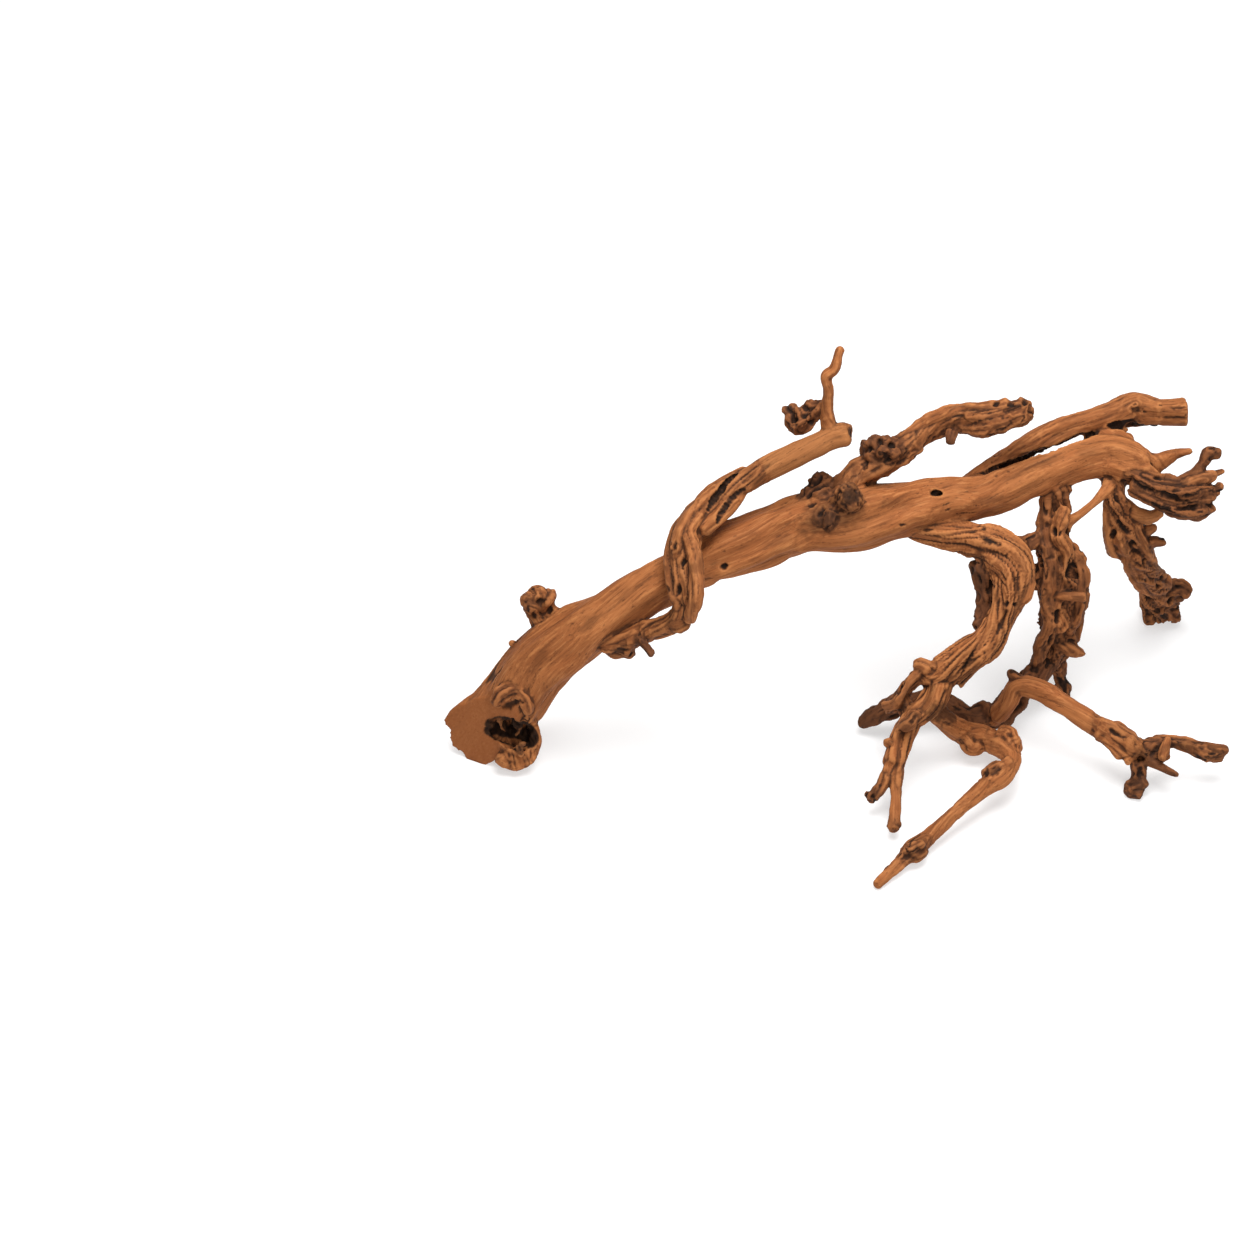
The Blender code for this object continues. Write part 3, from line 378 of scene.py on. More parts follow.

# Places on the side seen from the viewing angle that have rotted or are darkened, as (across, up, length,
# width, slant in degrees, depth, darkness). The pits and holes are sunk into the wood and their insides
# painted near black, which is painted shade; the flat patches of depth 0 are partly the wood's own stains
# and partly painted shade, as beside the twining branch where it crosses the trunk.
MARKS = [
    (95, 393, 6, 3, 8, 2.5, 1.0), (-115, 319, 5, 3.5, 20, 3, 1.0), (-128, 314, 16, 5, 15, 0.4, 0.45),
    (63, 360, 4, 2, 5, 1.5, 0.8), (88, 355, 6, 2, 5, 1.5, 0.8), (-76, 417, 7, 4, 32, 0.8, 0.5),
    (150, 345, 10, 4.5, -12, 3.5, 1.0), (167, 281, 3.5, 3, 60, 3, 1.0), (176, 280, 3, 3, 60, 3, 1.0),
    (-162, 295, 7, 3.5, 85, 3.5, 1.0), (-160, 277, 5, 3, 80, 3, 1.0), (-166, 338, 6, 3.5, 70, 3, 0.9),
    (-157, 322, 7, 3, 75, 3.5, 1.0), (155, 115, 8, 5, 40, 1.6, 0.7), (146, 112, 4, 3, 40, 2, 0.9),
    (171, 150, 4, 3, 0, 1.0, 0.5), (108, 161, 6, 3, -30, 1.0, 0.5), (71, 34, 10, 4, 30, 1.4, 0.7),
    (83, 165, 9, 3, 35, 1.6, 0.7), (277, 152, 9, 3, -32, 2.4, 0.9), (157, 482, 4, 3, 20, 3, 1.0),
    (172, 481, 4, 3, 0, 3, 1.0), (186, 483, 4, 3, 0, 3, 1.0), (120, 470, 8, 3, 5, 2, 0.9),
    (-330, 180, 12, 4, 20, 2.5, 0.9), (9, 388, 17, 15, 30, 2.5, 0.9), (9, 388, 4, 4, 0, 2, 0.97),
    (-20, 372, 8, 3, 60, 3, 0.95), (-9, 380, 6, 3, 40, 3, 0.95), (-12, 358, 6, 2.5, 30, 2.5, 0.9),
    (-28, 380, 5, 2.5, 30, 2.5, 0.9), (12, 452, 5, 8, 20, 1.5, 0.8), (217, 354, 5, 3, 85, 3.5, 1.0),
    (223, 352, 3, 2, 85, 3, 1.0), (234, 316, 14, 5, 85, 5, 1.0), (213, 300, 12, 3.5, 85, 4.5, 1.0),
    (238, 268, 10, 3.5, 85, 5, 1.0), (222, 270, 8, 3, 80, 4, 1.0), (216, 245, 8, 3, 75, 4, 1.0),
    (278, 352, 6, 3, 80, 4, 1.0), (300, 340, 8, 3, 120, 4, 1.0), (314, 322, 8, 3.5, 120, 4, 1.0),
    (330, 296, 8, 4, 100, 5, 1.0), (346, 284, 6, 4, 60, 5, 1.0), (328, 278, 5, 3, 90, 4, 1.0),
    (332, 390, 22, 3, -18, 4.5, 1.0), (352, 378, 14, 2.5, 10, 3.5, 0.9), (-300, 284, 6, 4, 20, 2.5, 0.8),
    (-290, 275, 5, 3, 60, 2, 0.8), (-307, 270, 4, 3, 90, 2, 0.7), (30, 436, 4, 3, 40, 3, 1.0),
    (41, 444, 4, 3, 80, 3, 1.0), (52, 440, 4, 3, 0, 3, 1.0), (46, 428, 5, 3, 20, 3, 1.0),
    (-35, 470, 5, 3, 30, 3, 1.0), (-45, 466, 4, 3, 0, 3, 1.0), (-28, 462, 4, 3, 60, 3, 1.0),
    (302, 112, 6, 3, 80, 2.5, 0.9), (316, 134, 8, 3, 60, 2.5, 0.9), (376, 131, 5, 2.5, 0, 2, 0.9),
    (60, 196, 7, 3, 60, 3, 1.0), (40, 172, 6, 3, 30, 2.5, 1.0), (33, 88, 4, 3, 60, 2.5, 1.0),
    (-8, 372, 44, 22, 20, 0, 0.55), (50, 382, 16, 6, 12, 0, 0.35), (150, 385, 22, 5, 8, 0, 0.4),
    (210, 424, 20, 5, 20, 0, 0.3), (250, 434, 14, 7, 10, 0, 0.25), (-60, 345, 20, 6, 20, 0, 0.3),
    (-200, 285, 22, 7, 36, 0, 0.35), (-250, 262, 16, 5, 45, 0, 0.35), (-300, 226, 18, 6, 52, 0, 0.3),
    (-140, 318, 22, 9, 20, 0, 0.35), (302, 478, 6, 4, 20, 1.5, 0.8), (345, 480, 12, 2, 2, 1, 0.6),
    (340, 470, 14, 2, 0, 1, 0.6), (14, 404, 26, 11, 38, 0, 0.6), (166, 172, 24, 13, 60, 0, 0.8),
    (126, 172, 50, 15, 0, 0, 0.78), (309, 129, 17, 13, 20, 0, 0.5), (300, 101, 9, 13, 0, 0, 0.5),
    (345, 138, 24, 7, 0, 0, 0.4), (36, 92, 9, 8, 60, 0, 0.45), (76, 33, 12, 8, 35, 0, 0.4),
    (168, 168, 13, 10, 60, 0, 0.6), (130, 222, 14, 4, 35, 2, 0.8), (162, 262, 16, 3, 65, 2.5, 0.8),
    (150, 288, 20, 2.5, 80, 2.5, 0.8),
]

# How rotten and dark each limb is, or how bleached where it is below 0, and how deep its grooves are, where
# they aren't the usual ones. On the front limb's inner strand the darkness is painted shade, not rot.
SOUND = 0.05
GNARL = by_name({
    -0.2: "twine_end",
    -0.15: "droop_strand droop_prong",
    0.0: "strut twig",
    0.1: "plate corner",
    0.2: "droop_left front_leg",
    0.25: "butt_lip limb front_toe_right",
    0.3: "upper_strand butt_root leg_middle limb_lobe shoulder fork_strand twine_right twine_crest"
        " back_ridge",
    0.35: "droop_right eye_knuckle",
    0.4: "back_stub claw_thorn front_knuckle low_right_arm twine twine_elbow",
    0.45: "knob_rim stub_top stub_right claw_ridge leg_thorn leg_peg front_toe_left front_gall",
    0.5: "knob butt_knot claw_edge leg_strand fringe_left toe_ball back",
    0.55: "stub_left droop leg_right shin_knot arm_end twine_left twine_spur",
    0.6: "claw_low droop_peg leg_toe leg_left limb_hook twine_burl twine_thorn back_end",
    0.65: "droop_snag limb_fringe",
    0.7: "claw_top claw_finger leg_bulge leg_foot leg_arm fringe_tie low_right_peg",
    0.75: "claw claw_under droop_heel droop_toe droop_lobe toe_heel fork_block twig_gall",
    0.78: "leg",
    0.8: "low_right_stub low_right_foot foot_knuckle low_right_heel back_knot back_tip gall_e gall_f",
    0.9: "burl_top front_nub back_spur gall_a gall_b gall_c gall_d gall_g",
    0.95: "burl burl_low burl_side back_gall back_gall_left back_gall_low back_gall_right",
    1.0: "twine_peg",
    1.1: "fringe_low",
    # darkest: painted shade on limb_inner, the back of the front limb's elbow; the low root and its knee are
    # painted as dark
    1.12: "limb_inner low_root root_knee",
})
USUAL_GROOVE = 0.8
GROOVE = by_name({
    0.3: "trunk knob_rim",
    0.4: "plate prong low_right twig strut",
    0.45: "upper_strand low_front",
    0.5: "twine_end",
    1.1: "front_leg",
    1.2: "twine",
    1.4: "shin",
    1.5: "droop leg",
    1.6: "limb",
    1.8: "claw claw_under",
})

# Splinters that are left standing in the hollow of the butt.
SPLINTERS = limbs_of("trunk", {
    "splinter_a": ([(-336, 176, 64, 4.5), (-341, 166, 53, 4.2), (-340, 158, 46, 3),
        (-334, 151, 39, 1.6)], 4, 0.2, 0.5, 6),
    "splinter_b": ([(-318, 172, 58, 4), (-325, 163, 50, 3.6), (-321, 155, 43, 2.6),
        (-326, 148, 37, 1.6)], 4, 0.2, 0.5, 6),
    "splinter_c": ([(-356, 150, 44, 4), (-347, 143, 37, 3.4), (-340, 136, 30, 2.6)], 4, 0.2, 0.5, 6),
    "splinter_d": ([(-318, 128, 26, 4), (-322, 136, 34, 3), (-314, 143, 40, 2.4)], 3, 0.1, 0.3, 6),
})


def hashed(cell):
    """A value from -1 to 1 for each whole-number cell of a grid, the same on every run."""
    x, y, z = (cell[:, i].astype(np.int64).astype(np.uint64) for i in range(3))
    h = x * np.uint64(374761393) + y * np.uint64(668265263) + z * np.uint64(2246822519)
    h &= np.uint64(0xFFFFFFFF)
    h = ((h ^ (h >> np.uint64(13))) * np.uint64(1274126177)) & np.uint64(0xFFFFFFFF)
    h ^= h >> np.uint64(16)
    return (h & np.uint64(0xFFFF)).astype(float) / 32767.5 - 1.0


def noise(points):
    """Smooth noise from -1 to 1 with bumps about one unit across, at each row of points."""
    low = np.floor(points)
    part = points - low
    part = part * part * (3 - 2 * part)
    total = np.zeros(len(points))
    for corner in range(8):
        step = np.array([corner & 1, corner >> 1 & 1, corner >> 2 & 1])
        weight = np.where(step, part, 1 - part).prod(axis=1)
        total += weight * hashed(low + step)
    return total


def ramp(low, high, value):
    """0 below low, 1 above high, and a smooth step between them."""
    t = np.clip((value - low) / (high - low), 0, 1)
    return t * t * (3 - 2 * t)


def placed(point):
    """A table point in the model's frame, in millimetres."""
    across, up, height = point[:3]
    away = (up - height * math.cos(VIEW_ELEVATION)) / math.sin(VIEW_ELEVATION)
    return np.array([across - CENTRE_X, away - CENTRE_Y, height])


def centre_line(limb, step=LIMB_STEP):
    """(points, radii, distances) of a smooth curve through a limb's table points, a ring's step apart."""
    knots = np.array([[*placed(p), p[3]] for p in limb.points])
    knots = np.vstack([2 * knots[0] - knots[1], knots, 2 * knots[-1] - knots[-2]])
    rows = []
    for a, b, c, d in zip(knots, knots[1:], knots[2:], knots[3:]):
        count = max(1, round(np.linalg.norm((c - b)[:3]) / step))
        t = np.linspace(0, 1, count, endpoint=False)[:, None]
        bend = a - 2.5 * b + 2 * c - d / 2
        swing = 1.5 * (b - c) + (d - a) / 2
        rows.append(b + (c - a) * t / 2 + bend * t**2 + swing * t**3)
    rows = np.vstack([*rows, knots[-2]])
    steps = np.linalg.norm(np.diff(rows[:, :3], axis=0), axis=1)
    return rows[:, :3], rows[:, 3], np.concatenate([[0], np.cumsum(steps)])


def ring_frames(points):
    """(along, side, top) unit vectors at each point of a curve, carried along it without twisting."""
    along = np.gradient(points, axis=0)
    along /= np.linalg.norm(along, axis=1)[:, None]
    side = np.cross(along[0], (0, 0, 1) if abs(along[0][2]) < 0.9 else (0, 1, 0))
    sides = []
    for way in along:
        side = side - way * (side @ way)
        side = side / np.linalg.norm(side)
        sides.append(side)
    sides = np.array(sides)
    return along, sides, np.cross(along, sides)


def rounded(name, radii, run):
    """How far each ring of a limb is drawn in, so that the ends that weren't sawn are blunt and round."""
    share = np.ones((len(run), 1))
    for end, past in ((0, run), (-1, run[-1] - run)):
        if SAWN.get(name, (None,))[0] != end:
            t = np.clip(1 - past / (ROUND_END * radii[end]), 0, 1)
            share[:, 0] *= 0.55 + 0.45 * np.sqrt(1 - t**2)
    return share


def unit(vector):
    return np.array(vector) / np.linalg.norm(vector)


def limb_rings(name, limb):
    """The rings of a limb's surface, as an array of ring, side and coordinate."""
    points, radii, run = centre_line(limb)
    along, side, top = ring_frames(points)
    angle = np.linspace(0, 2 * math.pi, LIMB_SIDES, endpoint=False)
    seed = sum(map(ord, name))
    turn = angle[None, :] + 2 * math.pi * limb.twist * MM * run[:, None]
    wander = noise(np.stack([run / WANDER, run * 0 + seed, run * 0], axis=1))[:, None]
    ridge = np.cos(limb.ridges * turn + 2 * wander + seed) * limb.relief
    ridge += np.cos((limb.ridges + 2) * turn - 3 * wander) * limb.relief * 0.45
    out = np.cos(angle)[None, :, None] * side[:, None, :] + np.sin(angle)[None, :, None] * top[:, None, :]
    surface = points[:, None, :] + out * radii[:, None, None]
    scale = 1.1 * radii[:, None, None]
    swell = noise((surface / scale.clip(6) + seed).reshape(-1, 3)).reshape(ridge.shape) * limb.lumps * 1.6
    reach = radii[:, None] * (1 + ridge + swell) * rounded(name, radii, run)
    rings = points[:, None, :] + out * reach[:, :, None]
    if name in SAWN:
        end, facing = SAWN[name]
        facing = unit(facing)
        past = (rings - points[end]) @ facing
        slant = along[end] @ facing
        rings -= np.where(past > 0, past / slant, 0)[:, :, None] * along[end]
        rings[end] -= ((rings[end] - points[end]) @ facing / slant)[:, None] * along[end]
    return rings


def added(name, data):
    """A new object in the scene."""
    made = bpy.data.objects.new(name, data)
    bpy.context.collection.objects.link(made)
    return made


def tubes(name, limbs):
    """One object that holds a closed tube for each of the limbs."""
    shape = bmesh.new()
    for key, limb in limbs.items():
        loops = [[shape.verts.new(p * MM) for p in ring] for ring in limb_rings(key, limb)]
        for low, high in zip(loops, loops[1:]):
            for i in range(LIMB_SIDES):
                j = (i + 1) % LIMB_SIDES
                shape.faces.new((low[i], low[j], high[j], high[i]))
        shape.faces.new(loops[0][::-1])
        shape.faces.new(loops[-1])
    mesh = bpy.data.meshes.new(name)
    shape.to_mesh(mesh)
    shape.free()
    return added(name, mesh)


def evaluated(piece):
    """A piece's mesh with its modifiers applied."""
    return bpy.data.meshes.new_from_object(piece.evaluated_get(bpy.context.evaluated_depsgraph_get()))


def regrown(piece):
    """Merges a piece's overlapping tubes on a fine grid."""
    remesh = piece.modifiers.new("regrown", "REMESH")
    remesh.mode = "VOXEL"
    remesh.voxel_size = VOXEL * MM


def grown_together(limbs):
    """The whole piece as one closed mesh: every limb's tube, merged on a fine grid, with the hollows taken
    out and the splinters put back."""
    whole = tubes("limbs", limbs)
    cutter = tubes("hollows", HOLLOWS)
    splinters = tubes("splinters", SPLINTERS)
    for piece in (whole, cutter, splinters):
        regrown(piece)
    for operation, other in (("DIFFERENCE", cutter), ("UNION", splinters)):
        carve = whole.modifiers.new(operation.lower(), "BOOLEAN")
        carve.operation = operation
        carve.solver = "MANIFOLD"
        carve.object = other
    regrown(whole)
    smooth = whole.modifiers.new("eased", "SMOOTH")
    smooth.iterations = SMOOTH_PASSES
    mesh = evaluated(whole)
    for piece in (whole, cutter, splinters):
        bpy.data.objects.remove(piece)
    return mesh


def field(elements, name, width):
    """An array of what each element of a mesh holds under that name."""
    values = np.zeros(len(elements) * width, dtype=np.float32 if name != "vertices" else np.int32)
    elements.foreach_get(name, values)
    return values.reshape(-1, width)


class Surface:
    """The piece's points in millimetres, their normals, and which points each edge joins."""

    def __init__(self, mesh):
        self.points = field(mesh.vertices, "co", 3).astype(float) / MM
        self.edges = field(mesh.edges, "vertices", 2)
        self.count = np.bincount(self.edges.ravel(), minlength=len(self.points))
        self.mesh = mesh

    def normals(self):
        self.mesh.vertices.foreach_set("co", (self.points * MM).astype(np.float32).ravel())
        self.mesh.update()
        return field(self.mesh.vertex_normals, "vector", 3).astype(float)

    def hollowness(self, normals, passes):
        """How far each point lies below its neighbours' average, after that many passes."""
        return ((self.spread(self.points, passes) - self.points) * normals).sum(axis=1)

    def spread(self, values, passes):
        """Values averaged with their neighbours', that many times."""
        flat = values.reshape(len(values), -1)
        a, b = self.edges.T
        for _ in range(passes):
            total = np.stack([
                np.bincount(a, flat[b, i], len(flat)) + np.bincount(b, flat[a, i], len(flat))
                for i in range(flat.shape[1])
            ], axis=1)
            flat = 0.5 * flat + 0.5 * total / self.count[:, None]
        return flat.reshape(values.shape)


def nearest_limbs(points, limbs):
    """For each point: its limb's number, its distance from that limb's surface, its place along it, its
    offsets from the centre line, the radius there, and how much nearer it is to that surface than to any
    other's."""
    rows, starts = [], []
    for number, (name, limb) in enumerate(limbs.items()):
        line, radii, run = centre_line(limb, SEARCH_STEP)
        along, side, top = ring_frames(line)
        turn = -2 * math.pi * limb.twist * MM * run
        turned_side = side * np.cos(turn)[:, None] + top * np.sin(turn)[:, None]
        turned_top = top * np.cos(turn)[:, None] - side * np.sin(turn)[:, None]
        starts.append(sum(map(len, rows)))
        numbers = np.full(len(run), number)
        rows.append(np.column_stack([line, radii, run, along, turned_side, turned_top, numbers]))
    rows = np.vstack(rows)
    line, radii = rows[:, :3].astype(np.float32), rows[:, 3].astype(np.float32)
    squares = (line**2).sum(axis=1)
    best = np.empty(len(points), dtype=int)
    away, gap = np.empty((2, len(points)))
    for first in range(0, len(points), SEARCH_BATCH):
        batch = slice(first, first + SEARCH_BATCH)
        chunk = points[batch].astype(np.float32)
        apart = (chunk**2).sum(axis=1)[:, None] + squares - 2 * chunk @ line.T
        apart = np.sqrt(apart.clip(0)) - radii
        best[batch] = apart.argmin(axis=1)
        by_limb = np.sort(np.minimum.reduceat(apart, starts, axis=1), axis=1)
        away[batch] = by_limb[:, 0]
        gap[batch] = by_limb[:, 1] - by_limb[:, 0]
    row = rows[best]
    offset = points - row[:, :3]
    place = row[:, 4] + (offset * row[:, 5:8]).sum(axis=1)
    sideways = (offset * row[:, 8:11]).sum(axis=1)
    upward = (offset * row[:, 11:14]).sum(axis=1)
    return row[:, 14].astype(int), away, place, np.stack([sideways, upward], axis=1), row[:, 3], gap


def sawn_faces(points, limbs):
    """1 on the ends that were sawn, and 0 elsewhere."""
    share = np.zeros(len(points))
    for name, (end, facing) in SAWN.items():
        line, radii, _ = centre_line(limbs[name])
        off = points - line[end]
        past = off @ unit(facing)
        round_it = np.linalg.norm(off, axis=1) < 1.8 * radii[end]
        share = np.maximum(share, (1 - ramp(1.0, 2.2, np.abs(past))) * round_it)
    return share


def marks(points):
    """How deep and how dark the marks of the table are at each point."""
    sine, cosine = math.sin(VIEW_ELEVATION), math.cos(VIEW_ELEVATION)
    across = points[:, 0] + CENTRE_X
    up = sine * (points[:, 1] + CENTRE_Y) + cosine * points[:, 2]
    toward = sine * points[:, 2] - cosine * points[:, 1]
    ragged = 1 + 0.35 * noise(points / 2.6) + 0.2 * noise(points / 6.0)
    deep, dark = np.zeros(len(points)), np.zeros(len(points))
    for x, y, length, width, slant, depth, darkness in MARKS:
        near = np.flatnonzero(np.hypot(across - x, up - y) < 1.6 * max(length, width))
        if not len(near):
            continue
        near = near[toward[near] > toward[near].max() - 8 - max(length, width)]
        slant = math.radians(slant)
        u = (across[near] - x) * math.cos(slant) + (up[near] - y) * math.sin(slant)
        v = (up[near] - y) * math.cos(slant) - (across[near] - x) * math.sin(slant)
        within = 1 - ramp(0.45, 1.1, np.hypot(u / length, v / width) * ragged[near])
        deep[near] = np.maximum(deep[near], depth * within)
        dark[near] = np.maximum(dark[near], darkness * within)
    return deep, dark


def weather(surface, limbs):
    """Raises the grain, opens the cracks and eats the pits, and returns each point's limb and its looks."""
    number, _, place, offset, radius, gap = nearest_limbs(surface.points, limbs)
    names = list(limbs)
    gnarl = np.array([GNARL.get(name, SOUND) for name in names])[number]
    groove = np.array([GROOVE.get(name, USUAL_GROOVE) for name in names])[number]
    inside = 1 - ramp(-0.4, 1.2, nearest_limbs(surface.points, HOLLOWS)[1])
    sawn = sawn_faces(surface.points, limbs) * (1 - inside)
    inside *= 0.55 + 0.45 * ramp(0.2, 1.4, nearest_limbs(surface.points, SPLINTERS)[1])
    seed = (number * SEED_STEP)[:, None]
    gnarl = surface.spread(gnarl, BLEND_PASSES)
    groove = surface.spread(groove, BLEND_PASSES)
    rotten = gnarl.clip(0, 1)
    meander = 3.5 * noise(np.stack([place / 34, number * 1.0, number * 0.0], axis=1))
    grain = np.stack([offset[:, 0] + meander, offset[:, 1] - meander, place], axis=1)
    room = np.clip(radius / 12, 0.3, 1.0)
    solid = surface.points
    warp = np.stack([noise(solid / 12 + shift) for shift in (0, 50, 100)], axis=1)

    def streaks(across, along, bend=0.0, shift=0):
        return noise(grain / (across, across, along) + bend * warp + seed + shift)

    flutes = streaks(12, 95)
    lines = np.abs(streaks(5.6, 85) + 0.22 * streaks(2.8, 40))
    furrow = 1 - ramp(0.0, 0.24, lines)
    wrinkle = 1 - ramp(0.0, 0.3, np.abs(streaks(3.8, 60)))
    fibres = streaks(2.6, 34)
    cracks = (1 - ramp(0.015, 0.06, np.abs(streaks(9.5, 120)))) * ramp(0.34, 0.6, streaks(17, 70))
    ribbons = np.abs(streaks(6.5, 40, 0.5))
    crests = (1 - np.abs(streaks(8.5, 26, 0.6, 13))) ** 3
    lumps = np.abs(noise(solid / 7.5 + 0.6 * warp + 31))
    gall = ramp(0.8, 0.95, gnarl) * (1 - ramp(1.0, 1.08, gnarl))
    pits = ramp(0.34, 0.6, streaks(5.5, 10, 0.5, 7)) * ramp(0.25, 0.7, rotten)
    specks = ramp(0.66, 0.78, streaks(3.0, 8.0, shift=90)) * ramp(0.5, 0.85, streaks(26, 55) + rotten)
    raised = 0.55 * flutes * (0.6 + groove)
    raised -= groove * (1.0 * furrow + 0.5 * wrinkle - 0.5)
    raised += 0.22 * fibres
    raised -= 1.5 * cracks * (0.5 + groove)
    raised += rotten * (3.0 * ribbons + 2.8 * crests - 2.1)
    raised += gall * (2.6 * lumps - 0.9)
    raised -= 3.0 * pits
    raised -= 0.9 * specks
    raised *= room
    seam = 1 - ramp(0.0, 2.5, gap)
    raised = raised * (1 - 0.5 * seam) - 0.5 * seam * room
    torn = inside * (3.4 * np.abs(noise(solid / 5.5 + warp + 5)) - 1.6)
    # The marks sink pits and holes whose darkness is painted shade, and lay flat dark patches, partly stains
    # and partly painted shade.
    deep, dark = marks(solid)
    raised = raised * (1 - 0.85 * sawn) * (1 - inside) + torn - deep
    surface.points += surface.normals() * surface.spread(raised, 1)[:, None]
    normals = surface.normals()
    scales = (NEAR_PASSES, WIDE_PASSES)
    hollowed = np.stack([surface.hollowness(normals, passes) for passes in scales], axis=1)
    near, wide = (hollowed - 0.8 * surface.spread(hollowed, LOCAL_PASSES)).T
    # The butt's hollow is painted near black as painted shade, all but the tops of the torn splinters.
    black = inside * (1.0 - 0.25 * ramp(1.0, 1.8, torn))
    # How far each point lies below its neighbours, or above them where negative: the material paints shade
    # into the hollows and a highlight onto the crests from it.
    shade_and_highlight = np.clip(near / 0.25, -1, 1) * 0.5 + np.clip(wide / 1.6, -1, 1) * 0.5
    # Painted shade in the cracks, pits, specks and furrows, and, on the next line, where two limbs' surfaces
    # meet.
    opened = 0.8 * cracks + 0.75 * pits + 0.6 * specks + groove * (0.32 * furrow + 0.14 * wrinkle)
    opened += 0.2 * seam
    looks = {
        "shade_and_highlight": shade_and_highlight * (1 - 0.75 * sawn),
        "shade_and_stain": np.maximum.reduce([opened * (1 - 0.8 * sawn), black, dark]).clip(0, 1),
        "gnarl": gnarl,
        "sawn": sawn,
    }
    return number, grain + seed * GRAIN_SHIFT, looks


def find_cut(name, share):
    """(middle, direction, radius) of a cut across a limb, at a share of its length, in metres."""
    points, radii, run = centre_line(LIMBS[name])
    i = int(np.searchsorted(run, share * run[-1]))
    return Vector(points[i] * MM), Vector(ring_frames(points)[0][i]), radii[i] * MM


def loops_of(edges):
    """The loops that a set of edges falls into."""
    left, loops = set(edges), []
    while left:
        loop, front = [], [left.pop()]
        while front:
            edge = front.pop()
            loop.append(edge)
            for vert in edge.verts:
                near = [e for e in vert.link_edges if e in left]
                left.difference_update(near)
                front.extend(near)
        loops.append(loop)
    return loops


def cut_loop(shape, middle, way, reach):
    """Cuts the faces near a point along a plane through it, and returns the loop of edges made round that
    point, or None where that isn't one closed loop."""
    faces = {f for v in shape.verts if (v.co - middle).length < reach for f in v.link_faces}
    edges = {e for f in faces for e in f.edges}
    verts = {v for f in faces for v in f.verts}
    cut = bmesh.ops.bisect_plane(
        shape, geom=[*verts, *edges, *faces], plane_co=middle, plane_no=way, dist=KNIT * MM
    )
    loops = loops_of([e for e in cut["geom_cut"] if isinstance(e, bmesh.types.BMEdge)])

    def off_centre(loop):
        spots = [v.co for e in loop for v in e.verts]
        return (sum(spots, Vector()) / len(spots) - middle).length

    loop = set(min(loops, key=off_centre))
    if any(sum(e in loop for e in v.link_edges) != 2 for e in loop for v in e.verts):
        return None
    return loop


def part_at(shape, name, share):
    """Parts the piece across one limb and closes both sides with a shallow cone, so that no two faces lie
    together."""
    for shift in CUT_SHIFTS:
        middle, way, radius = find_cut(name, share + shift)
        loop = cut_loop(shape, middle, way, 2 * radius + CUT_MARGIN * MM)
        if loop:
            break
    else:
        raise ValueError(f"the cut across {name} isn't one closed loop")
    bmesh.ops.split_edges(shape, edges=list(loop))
    for rim in loops_of([e for e in shape.edges if e.is_boundary]):
        spots = [v.co for e in rim for v in e.verts]
        centre = sum(spots, Vector()) / len(spots)
        middles = [f.calc_center_median() for e in rim for f in e.link_faces]
        inward = sum(middles, Vector()) / len(rim) - centre
        tip = shape.verts.new(centre + way * math.copysign(CONE_HEIGHT * radius, inward.dot(way)))
        for edge in rim:
            edge.smooth = False
            corner = edge.link_loops[0]
            shape.faces.new((corner.link_loop_next.vert, corner.vert, tip))


def stand_flat(shape):
    """Cuts the feet off flat at the ground."""
    everything = [*shape.verts, *shape.edges, *shape.faces]
    cut = bmesh.ops.bisect_plane(
        shape, geom=everything, plane_co=(0, 0, 0), plane_no=(0, 0, 1), dist=KNIT * MM, clear_inner=True
    )
    edges = [e for e in cut["geom_cut"] if isinstance(e, bmesh.types.BMEdge) and e.is_boundary]
    for loop in loops_of(edges):
        made = bmesh.ops.edgeloop_fill(shape, edges=loop)
        bmesh.ops.triangulate(shape, faces=made["faces"])


def dial(node, values):
    """Sets a node's inputs by name."""
    for name, value in values.items():
        node.inputs[name].default_value = value


def shaded(name):
    """(material, node tree, shader) of a new material."""
    material = bpy.data.materials.new(name)
    material.use_nodes = True
    return material, material.node_tree, material.node_tree.nodes["Principled BSDF"]


